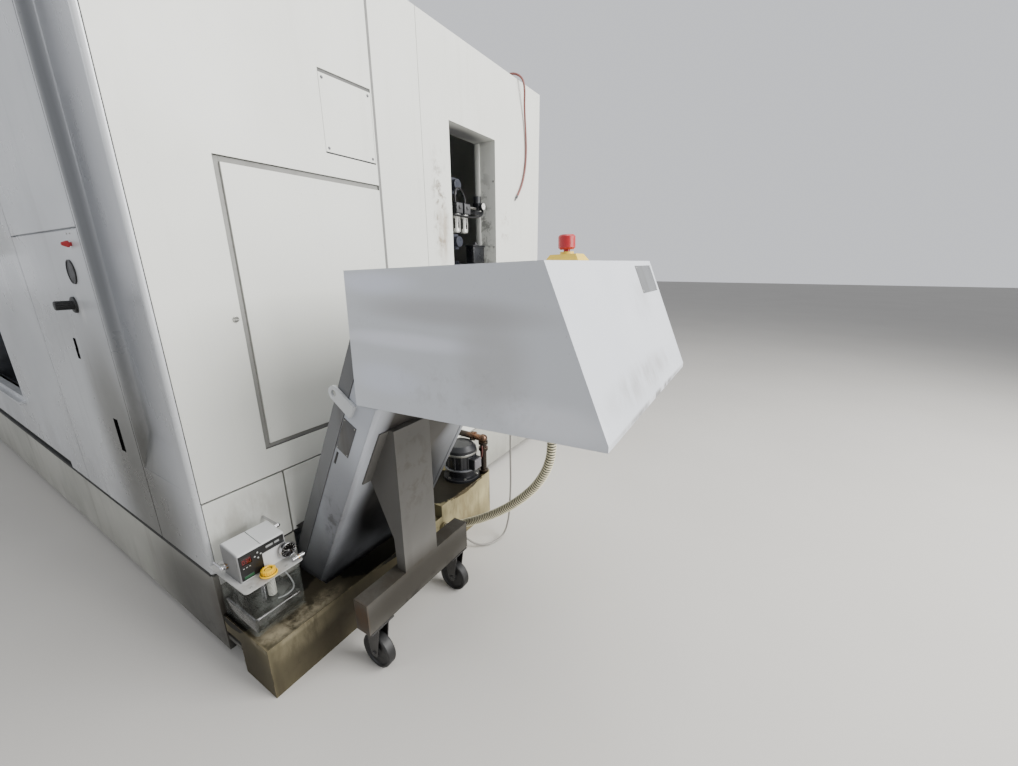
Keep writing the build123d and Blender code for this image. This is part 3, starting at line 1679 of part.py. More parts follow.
def lube_cap():
    """Ribbed filler cap over the reservoir's neck."""
    base = lube_shelf_top + slide_gap
    skirt = neck_radius + slide_gap
    grip = cap_grip_radius
    dish = cap_height - cap_dish_depth
    profile = [
        (skirt, 0), (cap_radius - cap_edge, 0), (cap_radius, cap_edge), (cap_radius, cap_skirt - cap_edge),
        (cap_radius - cap_edge, cap_skirt), (grip, cap_skirt), (grip, cap_height - cap_edge),
        (grip - cap_edge, cap_height), (cap_dish_radius + cap_edge, cap_height),
        (cap_dish_radius, dish), (0, dish), (0, neck_rise + 1), (skirt, neck_rise + 1),
    ]
    cap = turned(profile, Plane.XY)
    for n in range(cap_ribs):
        turn = 360 / cap_ribs * n
        half = cap_rib_width / 2
        top = cap_height - cap_edge
        rib = block(grip - 1, grip + cap_rib_depth, -half, half, cap_skirt - 1, top)
        cap += Rot(0, 0, turn) * rib
    return Pos(cap_x, cap_y, base) * cap


def lube_reservoir():
    """Clear reservoir hung under the shelf: moulded cup, and its top with the filler neck."""
    t = reservoir_wall
    top = lube_shelf_top - sheet
    x0, x1, y0, y1 = reservoir_left, reservoir_right, reservoir_near, reservoir_far
    outside = block(x0, x1, y0, y1, reservoir_bottom, top)
    outside = fillet(outside.edges().filter_by(Axis.Z), reservoir_corner)
    inside = block(x0 + t, x1 - t, y0 + t, y1 - t, reservoir_bottom + t, top + 1)
    inside = fillet(inside.edges().filter_by(Axis.Z), reservoir_corner - t)
    lid_zone = block(x0, x1, y0, y1, top - t, top)
    cup = outside - inside - lid_zone
    mouth = lube_shelf_top + neck_rise
    lid = (outside & lid_zone) + rod(neck_radius, (cap_x, cap_y, top - 1), (cap_x, cap_y, mouth))
    lid -= rod(neck_radius - t, (cap_x, cap_y, top - t - 1), (cap_x, cap_y, mouth + 1))
    return Compound([cup, lid])


def lube_gauge():
    """Round pressure gauge on a short stem from the housing's front."""
    r = lube_gauge_radius
    back = lube_gauge_gap
    front = back + lube_gauge_depth
    glass = front - lube_gauge_sink
    profile = [
        (0, 0), (lube_pipe_radius, 0), (lube_pipe_radius, back), (r - lube_gauge_rim, back),
        (r, back + lube_gauge_bevel), (r, front), (r - lube_gauge_rim, front),
        (r - lube_gauge_rim, glass), (0, glass),
    ]
    return turned(profile, Plane(origin=(housing_right, lube_gauge_y, lube_gauge_z), z_dir=(1, 0, 0)))


def union(x, y, z, reach, pipe_end):
    """Screwed union that leaves a wall along Y, with a round elbow and a pipe to pipe_end."""
    side = 1 if reach > 0 else -1
    part = rod(fitting_radius, (x, y, z), (x, y + reach, z))
    part += rod(fitting_nut_radius, (x, y, z), (x, y + side * fitting_nut_length, z))
    part += Pos(x, y + reach, z) * Sphere(fitting_radius)
    return part + rod(lube_pipe_radius, (x, y + reach, z), (pipe_end, y + reach, z))


def lube_fittings():
    """Unions and pipes at both ends of the housing, the outlet and the suction strainer."""
    x = housing_left + fitting_inset
    low = lube_shelf_top + fitting_rise
    left = union(x, housing_near, low, -near_fitting_reach, x - near_pipe_length)
    high = lube_shelf_top + housing_height - housing_slope - 2 * fitting_radius
    right = union(x, housing_far, high, far_fitting_reach, sheet)
    x = lube_shelf_reach - outlet_inset
    z = lube_shelf_top + fitting_nut_radius
    y = lube_shelf_far + outlet_overhang
    outlet = rod(fitting_radius, (x, y - outlet_length, z), (x, y, z))
    y -= outlet_length / 2
    outlet += rod(outlet_pin_radius, (x, y, lube_shelf_top), (x, y, z))
    x = housing_left + suction_inset
    y = (housing_near + housing_far) / 2
    low = reservoir_bottom + reservoir_wall + suction_lift
    top = lube_shelf_top - sheet - reservoir_wall
    suction = rod(suction_radius, (x, y, low), (x, y, top))
    suction += rod(strainer_radius, (x, y, low), (x, y, low + strainer_height))
    return Compound([left, right, outlet, suction])


def cord(name, route, diameter):
    """Cord tube along its route; each bend is as large as its two runs allow."""
    points = [Vector(*p) for p in route]
    radii = []
    for a, b, c in zip(points, points[1:], points[2:]):
        before, after = b - a, c - b
        turn = before.get_angle(after)
        shorter = min(before.length, after.length)
        radii.append(0.45 * shorter / tan(radians(turn) / 2))
    path = FilletPolyline(*points, radius=radii)
    section = Plane(origin=points[0], z_dir=points[1] - points[0]) * Circle(diameter / 2)
    tube = sweep(section, path=path)
    expected = pi * diameter**2 / 4 * path.length
    listed = [round(r) for r in radii]
    share = round(tube.volume / expected, 4)
    print(name, "radii", listed, "length", round(path.length), "volume share", share)
    return tube


def build():
    """Makes every piece, moves it to the part's own frame and writes it."""
    body, stop_at = console()
    console_stop = stop_at * stop_button(console_stop_radius, console_stop_height, console_stop_edge)
    near_wheel, far_wheel = caster_places()
    pieces = {
        "machine_base": machine_base(),
        "levelling_feet": levelling_feet(),
        "slant_bed": slant_bed(),
        "headstock": headstock(),
        "chuck": chuck(),
        "saddle": saddle(),
        "turret_slide": turret_slide(),
        "turret_disc": turret_disc(),
        "tailstock": tailstock(),
        "tailstock_quill": tailstock_quill(),
        "work_guard": work_guard(),
        "front_column": front_column(),
        "front_panel_upper": front_panel_upper(),
        "front_panel_lower": front_panel_lower(),
        "front_door_frame": front_door_frame(),
        "front_left_cover": front_left_cover(),
        "front_door": front_door(),
        "door_window": door_window(),
        "operator_panel": body - stop_at * stop_well(),
        "operator_stop_button": console_stop,
        "front_gauge": front_gauge(),
        "front_knob": front_knob(),
        "front_button": front_button(),
        "roof_cover": roof_cover(),
        "rear_covers": rear_covers(),
        "end_cover_front": end_cover_front(),
        "access_panel": access_panel(),
        "access_latch": access_latch(),
        "small_cover": small_cover(),
        "end_cover_rear": end_cover_rear(),
        "end_lower_covers": end_lower_covers(),
        "hydraulic_column": hydraulic_column(),
        "air_unit": air_unit(),
        "coolant_tank": coolant_tank(),
        "coolant_pump": coolant_pump(),
        "coolant_pipe": coolant_pipe(),
        "conveyor_trunk": conveyor_trunk(),
        "lifting_lug": lifting_lug(),
        "trunk_cover": trunk_cover(),
        "entry_seal": entry_seal(),
        "chip_belt": chip_belt(),
        "head_shaft": head_shaft(),
        "gear_motor": gear_motor(),
        "conveyor_hood": conveyor_hood(),
        "stop_base": stop_base(),
        "hood_stop_button": hood_stop_button(),
        "conveyor_leg": conveyor_leg(),
        "caster_forks": caster_forks(),
        "caster_wheel_near": caster_wheel(*near_wheel),
        "caster_wheel_far": caster_wheel(*far_wheel),
        "lube_bracket": lube_bracket(),
        "lube_housing": lube_housing(),
        "lube_face": lube_face(),
        "lube_cap": lube_cap(),
        "lube_reservoir": lube_reservoir(),
        "lube_gauge": lube_gauge(),
        "lube_fittings": lube_fittings(),
        "drain_hose": cord("drain hose", hose_route, hose_diameter),
        "motor_cable": cord("motor cable", cable_route, cable_diameter),
        "loose_line": cord("loose line", wire_route, wire_diameter),
    }
    os.makedirs("parts", exist_ok=True)
    for name, piece in pieces.items():
        export_step(Pos(-centre_x, -centre_y, 0) * piece, f"parts/{name}.step")


build()
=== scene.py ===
import math

import bmesh
import bpy
import numpy as np
from mathutils import Matrix, Vector


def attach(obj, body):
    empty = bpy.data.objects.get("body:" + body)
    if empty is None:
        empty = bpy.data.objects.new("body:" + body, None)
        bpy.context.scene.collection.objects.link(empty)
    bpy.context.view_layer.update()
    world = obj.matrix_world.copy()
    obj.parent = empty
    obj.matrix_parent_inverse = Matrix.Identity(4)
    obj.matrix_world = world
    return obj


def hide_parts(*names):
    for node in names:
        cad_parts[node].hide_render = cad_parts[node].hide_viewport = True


# Looks of a slant-bed turning machine with a chip conveyor. Lengths in the code are the
# workshop's millimetres: X from the right end covers, Y from the front covers to the back,
# Z from the floor. The calls at() and metres() bring them to the part's own frame.

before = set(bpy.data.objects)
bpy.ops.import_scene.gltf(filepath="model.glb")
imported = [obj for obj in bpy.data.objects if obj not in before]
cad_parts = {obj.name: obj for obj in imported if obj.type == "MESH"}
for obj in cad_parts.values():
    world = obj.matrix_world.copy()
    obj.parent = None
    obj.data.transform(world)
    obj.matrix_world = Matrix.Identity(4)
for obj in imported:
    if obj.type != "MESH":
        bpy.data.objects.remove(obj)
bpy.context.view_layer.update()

# Workshop zero in the part's frame, in millimetres
zero_x, zero_y = 1616.0, -1046.0


def vec(values):
    """Numbers as an array of floats."""
    return np.array(values, dtype=float)


def metres(points):
    """Points in millimetres from the workshop zero, as metres in the part's frame."""
    return (vec(points) + (zero_x, zero_y, 0.0)) / 1000.0


def at(x, y, z):
    """One such point as a vector."""
    return Vector(metres((x, y, z)))


def placed(name, data):
    """New object in the scene for a lens, lamp, mesh or curve."""
    obj = bpy.data.objects.new(name, data)
    bpy.context.scene.collection.objects.link(obj)
    return obj


# Camera, lamps and stage

camera_place = (1383, -430, 1300)
camera_right = Vector((0.8517, 0.5230, -0.0041))
camera_ahead = Vector((-0.5029, 0.8176, -0.2804))
sensor_width, focal_length = 36.0, 14.534
fill_light, sky_light = 0.42, 0.86
floor_reach = 30
# Name, place, target and size in metres, watts and colour of each lamp
soft_boxes = [
    ("above", (3.4, 0.2, 5.4), (1.9, 0.2, 0.9), (3.6, 3.6), 150.0, (1.0, 0.99, 0.97)),
    ("right", (7.0, 1.2, 3.8), (1.6, 0.0, 1.3), (3.4, 3.4), 600.0, (1.0, 0.99, 0.97)),
    ("low", (7.4, -0.5, 1.5), (1.6, -0.4, 0.6), (2.6, 1.8), 95.0, (1.0, 0.99, 0.98)),
    ("front", (-1.0, -5.2, 3.6), (0.2, -1.0, 1.2), (3.6, 3.0), 78.0, (0.95, 0.97, 1.0)),
]


def set_camera():
    """Wide lens near the conveyor's hood, looking down along the machine's right end."""
    right, ahead = camera_right.normalized(), camera_ahead.normalized()
    turn = Matrix((right, right.cross(ahead), -ahead)).transposed().to_4x4()
    lens = bpy.data.cameras.new("camera")
    lens.sensor_width = sensor_width
    lens.lens = focal_length
    lens.clip_start = 0.02
    lens.clip_end = 100.0
    camera = placed("camera", lens)
    camera.matrix_world = Matrix.Translation(at(*camera_place)) @ turn
    bpy.context.scene.camera = camera


def set_lights():
    """Pale even world and soft boxes, the strongest one to the right of the conveyor."""
    world = bpy.data.worlds.new("studio")
    world.use_nodes = True
    tree = world.node_tree
    tree.nodes.clear()
    rays = put(tree, "LightPath", {}, "Is Camera Ray")
    glossy = put(tree, "LightPath", {}, "Is Glossy Ray")
    seen = put(tree, "Math", {0: rays, 1: glossy}, operation="MAXIMUM")
    levels = {"Value": seen, "To Min": fill_light, "To Max": sky_light}
    strength = put(tree, "MapRange", levels)
    sky = put(
        tree, "Background", {"Color": (0.93, 0.95, 1.0, 1.0), "Strength": strength}
    )
    out = tree.nodes.new("ShaderNodeOutputWorld")
    tree.links.new(sky, out.inputs[0])
    bpy.context.scene.world = world
    for name, place, target, size, watts, colour in soft_boxes:
        lamp = bpy.data.lights.new(name, "AREA")
        lamp.shape = "RECTANGLE"
        lamp.size, lamp.size_y = size
        lamp.energy = watts
        lamp.color = colour
        aim = (Vector(target) - Vector(place)).to_track_quat("-Z", "Y")
        turn = aim.to_matrix().to_4x4()
        placed(name, lamp).matrix_world = Matrix.Translation(place) @ turn


def set_stage():
    """Plain pale floor."""
    a, b = -floor_reach, floor_reach
    mesh = bpy.data.meshes.new("floor")
    mesh.from_pydata([(a, a, 0), (b, a, 0), (b, b, 0), (a, b, 0)], [], [(0, 1, 2, 3)])
    floor = placed("floor", mesh)
    material, shader, place = new_finish("pale floor")
    cloud = noise(place, 0.8, detail=3.0)
    colours = mix(cloud, tint(0.74, 0.73, 0.71), tint(0.79, 0.78, 0.76))
    wire(shader, {"Base Color": colours, "Roughness": 0.75})
    mesh.materials.append(material)


# Finishes


def tint(red, green, blue, alpha=1.0):
    """Colour as seen on a screen, brought to the linear scale."""
    return tuple(
        c / 12.92 if c <= 0.04045 else ((c + 0.055) / 1.055) ** 2.4 for c in (red, green, blue)
    ) + (alpha,)


def wire(node, inputs):
    """Sets or links inputs of a node."""
    for key, value in inputs.items():
        if isinstance(value, bpy.types.NodeSocket):
            node.id_data.links.new(value, node.inputs[key])
        else:
            node.inputs[key].default_value = value
    return node


def put(owner, kind, inputs, output=0, **settings):
    """Adds a shader node to the tree of a socket or node, or to a tree itself, sets or links
    its inputs and gives one of its outputs.
    """
    node = owner.id_data.nodes.new("ShaderNode" + kind)
    for key, value in settings.items():
        setattr(node, key, value)
    return wire(node, inputs).outputs[output]


def new_finish(name):
    """New finish with one surface shader, and the place on the piece in metres."""
    material = bpy.data.materials.new(name)
    material.use_nodes = True
    tree = material.node_tree
    tree.nodes.clear()
    out = tree.nodes.new("ShaderNodeOutputMaterial")
    shader = tree.nodes.new("ShaderNodeBsdfPrincipled")
    tree.links.new(shader.outputs[0], out.inputs[0])
    return material, shader, put(tree, "TexCoord", {}, "Object")


def noise(place, scale, stretch=None, detail=4.0, rough=0.55, twist=0.0):
    """Cloudy pattern from 0 to 1, stretched along an axis if wanted."""
    if stretch:
        place = put(place, "Mapping", {"Vector": place, "Scale": stretch})
    inputs = {"Vector": place, "Scale": scale, "Detail": detail, "Roughness": rough}
    return put(place, "TexNoise", inputs | {"Distortion": twist})


def ramp(value, low, high, bottom=0.0, top=1.0):
    """Smooth step of a value between two levels."""
    inputs = {"Value": value, "From Min": low, "From Max": high, "To Min": bottom, "To Max": top}
    return put(value, "MapRange", inputs, interpolation_type="SMOOTHSTEP")


def product(a, b):
    """Two masks multiplied."""
    return put(a, "Math", {0: a, 1: b}, operation="MULTIPLY", use_clamp=True)


def total(a, b):
    """Two masks added."""
    return put(a, "Math", {0: a, 1: b}, operation="ADD", use_clamp=True)


def mix(share, under, over):
    """Two colours mixed by a share."""
    return put(share, "Mix", {0: share, 6: under, 7: over}, 2, data_type="RGBA")


def laid(colours, mask, strength, colour):
    """Colours under one more colour, laid on by a mask and a strength."""
    return mix(product(mask, strength), colours, tint(*colour))


def height_of(place, axis="Z"):
    """One coordinate of the place."""
    return put(place, "SeparateXYZ", {0: place}, axis)


def spot(place, centre, reach, soft=0.25):
    """Mask that is 1 at a centre and falls to 0 at its reach; centre and reach in millimetres."""
    centre, reach = tuple(metres(centre)), tuple(vec(reach) / 1000.0)
    away = put(place, "VectorMath", {0: place, 1: centre}, operation="SUBTRACT")
    share = put(place, "VectorMath", {0: away, 1: reach}, operation="DIVIDE")
    far = put(place, "VectorMath", {0: share}, 1, operation="LENGTH")
    return ramp(far, 1.0, soft)


def edge_mask(shader, radius, face=0.995, edge=0.86):
    """Mask of the sharp edges, and the rounded normal there. The mask rises where the likeness
    of the rounded and the flat normal falls from that of a face to that of an edge.
    """
    rounded = put(shader, "Bevel", {"Radius": radius}, samples=6)
    flat = put(shader, "NewGeometry", {}, "Normal")
    same = put(shader, "VectorMath", {0: rounded, 1: flat}, 1, operation="DOT_PRODUCT")
    return ramp(same, face, edge), rounded


def bump(height, depth, normal):
    """Normal bent by a height pattern of a depth in metres."""
    inputs = {"Height": height, "Distance": depth, "Strength": 1.0, "Normal": normal}
    return put(height, "Bump", inputs)


# Scale, stretch, roughness and twist of the pattern that tears a stain's edge, and two levels
torn_edges = {
    "ragged": (13.0, (1.0, 1.0, 0.35), 0.68, 0.0, 0.34, 0.62),
    "blotched": (21.0, None, 0.66, 0.4, 0.48, 0.64),
    "splashed": (9.0, None, 0.66, 0.6, 0.30, 0.42),
}
# Depth in metres over which painted shade sets in behind a recess plane, and the colour of that
# shade
fade_depth, recess_shade_colour = 0.0012, (0.16, 0.16, 0.16)


def spot_mark_shape(place, centre, reach, kind=None):
    """Mask of a spot, used for stains and for painted shade and painted reflection: smooth, or
    torn in the way of its kind.
    """
    shape = spot(place, centre, reach)
    if kind is None:
        return shape
    scale, stretch, rough, twist, low, high = torn_edges[kind]
    torn = noise(place, scale, stretch, 7.0, rough, twist)
    if kind == "splashed":
        lowered = put(torn, "Math", {0: torn, 1: -0.5}, operation="ADD")
        return ramp(total(shape, lowered), low, high)
    return product(shape, ramp(torn, low, high))


def painted(name, colour, rough=0.42, cloud=0.10, streak=0.10, specks=0.25, wear=0.30,
            bare=(0.33, 0.32, 0.30), dirt=(0.20, 0.16, 0.12), low=None, spots=(), peel=0.00003,
            metal=0.0, shade_behind=None, edge=0.0022, gloss=0.5):
    """Sprayed paint: faint clouds and runs, dirt specks, worn edges, grime near the floor.

    low is the height in millimetres below which grime gathers, with its strength; spots are
    marks given by centre, reach, colour, strength and, where they are torn, their kind: stains,
    and in places painted shade and painted reflection; the argument for recesses paints shade
    on what lies deeper than a plane, given by axis, place and sense.
    """
    material, shader, place = new_finish(name)
    broad = ramp(noise(place, 1.7, detail=3.0), 0.38, 0.68)
    colours = laid(tint(*colour), broad, cloud * 2.2, [c * 0.80 for c in colour])
    runs = ramp(noise(place, 17.0, (1.0, 1.0, 0.07), 5.0), 0.52, 0.74)
    colours = laid(colours, runs, streak, dirt)
    dots = ramp(noise(place, 150.0, detail=2.0), 0.66, 0.74)
    patch = ramp(noise(place, 5.0, detail=3.0), 0.45, 0.7)
    colours = laid(colours, product(dots, patch), specks, dirt)
    if low is not None:
        top, strength = low
        rise = product(ramp(height_of(place), top / 1000.0, 0.0), strength)
        ragged = ramp(noise(place, 6.0, (1.0, 1.0, 0.5), 6.0, 0.65), 0.30, 0.72)
        colours = laid(colours, rise, total(ragged, 0.35), dirt)
    # Spots laid on in their colours: stains, and in places painted shade and painted reflection
    for centre, reach, stain, strength, *kind in spots:
        shape = spot_mark_shape(place, centre, reach, *kind)
        colours = laid(colours, shape, strength, stain)
    edges, rounded = edge_mask(shader, edge)
    chips = ramp(noise(place, 38.0, detail=6.0, rough=0.7), 0.42, 0.62)
    colours = laid(colours, product(edges, chips), wear, bare)
    # Painted shade in recesses: what lies deeper than the given plane is darkened
    if shade_behind:
        axis, level, sense = shade_behind
        plane = metres((level, level, level))["XYZ".index(axis)]
        behind = ramp(height_of(place, axis), plane, plane + fade_depth * sense)
        colours = laid(colours, behind, 0.88, recess_shade_colour)
    sheen = ramp(noise(place, 3.1, detail=5.0), 0.3, 0.7, rough - 0.07, rough + 0.10)
    grain = noise(place, 620.0, detail=1.0)
    wire(shader, {
        "Base Color": colours, "Roughness": sheen, "Metallic": metal,
        "Specular IOR Level": gloss, "Normal": bump(grain, peel, rounded),
    })
    return material


def ground_metal(name, colour, rough=0.32, stain=0.2, metal=1.0, dirt=(0.14, 0.11, 0.08)):
    """Ground or turned metal: fine brush lines, cloudy tarnish and brighter edges."""
    material, shader, place = new_finish(name)
    lines = noise(place, 420.0, (1.0, 0.06, 1.0), 3.0)
    tarnish = ramp(noise(place, 7.0, detail=6.0, rough=0.65), 0.40, 0.72)
    colours = laid(tint(*colour), tarnish, stain, dirt)
    edges, rounded = edge_mask(shader, 0.0012)
    colours = laid(colours, edges, 0.5, [min(1.0, c * 1.25) for c in colour])
    wire(shader, {
        "Base Color": colours, "Metallic": metal,
        "Roughness": ramp(lines, 0.25, 0.75, rough - 0.09, rough + 0.14),
        "Normal": bump(lines, 0.00002, rounded),
    })
    return material


def cast_paint(name, colour, rough=0.55):
    """Thick paint over a sand casting: pimply ground with oil haze."""
    material, shader, place = new_finish(name)
    haze = ramp(noise(place, 4.0, detail=5.0), 0.4, 0.7)
    colours = laid(tint(*colour), haze, 0.35, [c * 0.55 for c in colour])
    edges, rounded = edge_mask(shader, 0.003)
    pimples = noise(place, 260.0, detail=3.0)
    wire(shader, {
        "Base Color": laid(colours, edges, 0.35, (0.45, 0.45, 0.45)),
        "Roughness": ramp(haze, 0.0, 1.0, rough, rough - 0.2),
        "Normal": bump(pimples, 0.0002, rounded),
    })
    return material


def moulded(name, colour, rough=0.4, dust=0.25, glow=None, coat=0.0, groove=None):
    """Moulded plastic or rubber: fine spark grain, dust in patches, softened edges. Where a
    groove colour is given, the piece's grooves take it.
    """
    material, shader, place = new_finish(name)
    patch = ramp(noise(place, 30.0, detail=5.0, rough=0.6), 0.40, 0.75)
    colours = laid(tint(*colour), patch, dust, [c * 0.72 + 0.10 for c in colour])
    edges, rounded = edge_mask(shader, 0.0008)
    colours = laid(colours, edges, 0.4, [min(1.0, c * 1.15 + 0.04) for c in colour])
    if groove:
        sunk = put(shader, "Attribute", {}, "Fac", attribute_name="groove")
        colours = mix(ramp(sunk, 0.35, 0.85), colours, tint(*groove))
    spark = noise(place, 1500.0, detail=1.0)
    wire(shader, {
        "Base Color": colours, "Coat Weight": coat,
        "Roughness": ramp(patch, 0.0, 1.0, rough, rough + 0.18),
        "Normal": bump(spark, 0.00004, rounded),
    })
    if glow:
        wire(shader, {"Emission Color": tint(*glow[:3]), "Emission Strength": glow[3]})
    return material


def clear(name, colour, rough, alpha, haze=0.3):
    """Clear plastic or glass with a greasy haze."""
    material, shader, place = new_finish(name)
    film = ramp(noise(place, 16.0, detail=6.0, rough=0.65), 0.42, 0.74)
    wire(shader, {
        "Base Color": laid(tint(*colour), film, haze, [c * 0.6 for c in colour]),
        "Roughness": ramp(film, 0.0, 1.0, rough, rough + 0.25),
        "Alpha": ramp(film, 0.0, 1.0, alpha, alpha + 0.2), "IOR": 1.49,
    })
    return material


# Shapes

toward_right, toward_front = (1.0, 0.0, 0.0), (0.0, -1.0, 0.0)
upward, inward = (0.0, 0.0, 1.0), (0.0, 1.0, 0.0)


def grid(points, wrap_u=False, wrap_v=False):
    """Skin over a grid of points: rows run along u and columns along v."""
    rows, columns = points.shape[:2]
    index = np.arange(rows * columns).reshape(rows, columns)
    if wrap_u:
        index = np.vstack([index, index[:1]])
    if wrap_v:
        index = np.hstack([index, index[:, :1]])
    faces = np.stack([index[:-1, :-1], index[1:, :-1], index[1:, 1:], index[:-1, 1:]], axis=-1)
    return points.reshape(-1, 3), faces.reshape(-1, 4)


def joined(shapes):
    """Several skins as one."""
    starts = np.cumsum([0] + [len(verts) for verts, _ in shapes[:-1]])
    verts = np.concatenate([verts for verts, _ in shapes])
    faces = np.concatenate([faces + start for (_, faces), start in zip(shapes, starts)])
    return verts, faces


def axes_to(direction):
    """Three unit vectors, the last along a direction."""
    last = vec(direction)
    last = last / np.linalg.norm(last)
    side = upward if abs(last[2]) < 0.9 else toward_right
    first = np.cross(side, last)
    first = first / np.linalg.norm(first)
    return np.array([first, np.cross(last, first), last])


def turned(profile, origin, direction, sides):
    """Turned form. Each point of a profile of radius and height is swept round the axis:
    origin + radius (cos a, sin a) across the axis + height along it. Both ends lie on the axis.
    """
    profile = vec(profile)
    angle = np.linspace(0.0, 2 * math.pi, sides, endpoint=False)
    across = profile[:, :1, None] * np.stack([np.cos(angle), np.sin(angle)], axis=-1)[None]
    along = np.broadcast_to(profile[:, 1, None, None], across.shape[:2] + (1,))
    points = np.concatenate([across, along], axis=-1) @ axes_to(direction) + vec(origin)
    return grid(points, wrap_v=True)


def ring_form(section, centre, sides, squash=1.0):
    """Ring: each point of a closed section of radius and height is swept round an upright
    axis: centre + (squash radius cos a, radius sin a, height).
    """
    section = vec(section)
    angle = np.linspace(0.0, 2 * math.pi, sides, endpoint=False)
    ring = np.stack([
        section[:, :1] * np.cos(angle) * squash, section[:, :1] * np.sin(angle),
        np.broadcast_to(section[:, 1:], (len(section), sides)),
    ], axis=-1)
    return grid(ring + vec(centre), wrap_v=True)


def rounded_block(low, high, radius, steps=3):
    """Block with rounded edges: the eight corners' ball patches, pushed out to the corners and
    joined, so that a point is corner centre + radius times the unit direction. Two rows drawn
    in to the middle close its top and bottom.
    """
    low, high = vec(low), vec(high)
    quarter = np.linspace(0.0, math.pi / 2, steps)
    around = np.concatenate([quarter + n * math.pi / 2 for n in range(4)])
    sign_x = np.repeat([1, -1, -1, 1], steps)
    sign_y = np.repeat([1, 1, -1, -1], steps)
    up = np.concatenate([quarter - math.pi / 2, quarter])
    sign_z = np.repeat([-1, 1], steps)
    unit = np.stack([
        np.cos(up)[:, None] * np.cos(around)[None],
        np.cos(up)[:, None] * np.sin(around)[None],
        np.broadcast_to(np.sin(up)[:, None], (len(up), len(around))),
    ], axis=-1)
    signs = np.stack(np.broadcast_arrays(sign_x[None], sign_y[None], sign_z[:, None]), axis=-1)
    middle, half = (low + high) / 2, (high - low) / 2
    points = middle + signs * (half - radius) + unit * radius
    ends = [np.broadcast_to(middle + (0, 0, side * half[2]), points[:1].shape) for side in (-1, 1)]
    return grid(np.concatenate([ends[0], points, ends[1]]), wrap_v=True)


def turned_block(centre, size, radius, axes):
    """Rounded block of a size about a centre, laid on three given unit axes."""
    half = vec(size) / 2
    verts, faces = rounded_block(-half, half, radius)
    return verts @ vec(axes) + vec(centre), faces


def circles_on(first, second, sides):
    """Unit circles on two axes that stand square to a path at each of its points."""
    angle = np.linspace(0.0, 2 * math.pi, sides, endpoint=False)[None, :, None]
    return np.cos(angle) * first[:, None] + np.sin(angle) * second[:, None]


def pipe_along(path, radius, sides=16, side=inward):
    """Tube: at each point of a path a ring of a radius stands square to the path. The ring's
    first axis is a fixed side direction less its part along the path. Ends are closed.
    """
    path, side = vec(path), vec(side)
    radius = np.broadcast_to(vec(radius), (len(path),))
    ahead = np.gradient(path, axis=0)
    ahead /= np.linalg.norm(ahead, axis=1)[:, None]
    first = side - (ahead @ side)[:, None] * ahead
    first /= np.linalg.norm(first, axis=1)[:, None]
    rings = circles_on(first, np.cross(ahead, first), sides)
    points = path[:, None] + radius[:, None, None] * rings
    ends = [np.repeat(end, sides, 0)[None] for end in (path[:1], path[-1:])]
    return grid(np.concatenate([ends[0], points, ends[1]]), wrap_v=True)


def hexagon_head(origin, direction, across, height):
    """Bolt head: six-sided turned form with a chamfered top."""
    r = across / 2
    profile = [(0, 0), (r, 0), (r, height * 0.8), (r * 0.82, height), (0, height)]
    return turned(profile, origin, direction, 6)


def round_head(origin, direction, radius, height, sides):
    """Low round screw head or rivet."""
    steps = [(0, 0), (1, 0), (0.92, 0.55), (0.6, 0.92), (0, 1)]
    profile = [(radius * across, height * up) for across, up in steps]
    return turned(profile, origin, direction, sides)


def piece(name, shape, material, body="machine", smooth=35.0, raw=False, groove=None):
    """Makes the object for a skin, or for several skins, in millimetres, gives it its finish
    and its body. A groove value for each point, from 0 to 1, goes along for finishes that
    darken grooves. A raw skin is in metres in the part's frame already.
    """
    verts, faces = joined(shape) if isinstance(shape, list) else shape
    if not raw:
        verts = metres(verts)
    mesh = bpy.data.meshes.new(name)
    mesh.from_pydata(verts.tolist(), [], faces.tolist())
    if groove is not None:
        mesh.attributes.new("groove", "FLOAT", "POINT").data.foreach_set("value", groove)
    obj = placed(name, mesh)
    tidy_mesh(mesh, smooth)
    mesh.materials.append(material)
    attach(obj, body)
    return obj


def blocks(name, material, rows):
    """Piece of rounded blocks, each given by two corners and the radius of its edges."""
    piece(name, [rounded_block(*row) for row in rows], material)


def heads(name, places, direction, radius, height, material, sides=14):
    """Piece of round screw heads or rivets of one size at several places."""
    piece(name, [round_head(p, direction, radius, height, sides) for p in places], material)


def tidy_mesh(mesh, smooth):
    """Merges doubled points, drops empty faces, turns faces out and smooths gentle edges."""
    work = bmesh.new()
    work.from_mesh(mesh)
    bmesh.ops.remove_doubles(work, verts=work.verts, dist=1e-6)
    bmesh.ops.dissolve_degenerate(work, dist=1e-7, edges=work.edges)
    bmesh.ops.recalc_face_normals(work, faces=work.faces)
    limit = math.radians(smooth)
    for edge in work.edges:
        edge.smooth = len(edge.link_faces) == 2 and edge.calc_face_angle(0.0) < limit
    for face in work.faces:
        face.smooth = True
    work.to_mesh(mesh)
    work.free()


def cord_line(route):
    """Smooth open line near a route: a spline with the route's points as its control points."""
    points = metres(route)
    curve = bpy.data.curves.new("line", "CURVE")
    curve.dimensions = "3D"
    curve.resolution_u = 24
    spline = curve.splines.new("NURBS")
    spline.points.add(len(points) - 1)
    spline.points.foreach_set("co", np.column_stack([points, np.ones(len(points))]).ravel())
    spline.order_u = 3
    spline.use_endpoint_u = True
    return curve


def line_points(curve):
    """Points read along a curve that has no bevel."""
    holder = placed("reader", curve)
    mesh = bpy.data.meshes.new_from_object(holder)
    points = np.empty(len(mesh.vertices) * 3)
    mesh.vertices.foreach_get("co", points)
    bpy.data.objects.remove(holder)
    bpy.data.meshes.remove(mesh)
    return points.reshape(-1, 3)


def evenly(points, step):
    """Points at equal steps along a line."""
    runs = np.linalg.norm(np.diff(points, axis=0), axis=1)
    along = np.concatenate([[0.0], np.cumsum(runs)])
    count = max(2, int(round(along[-1] / step)) + 1)
    places = np.linspace(0.0, along[-1], count)
    return np.stack([np.interp(places, along, points[:, k]) for k in range(3)], axis=-1), along[-1]


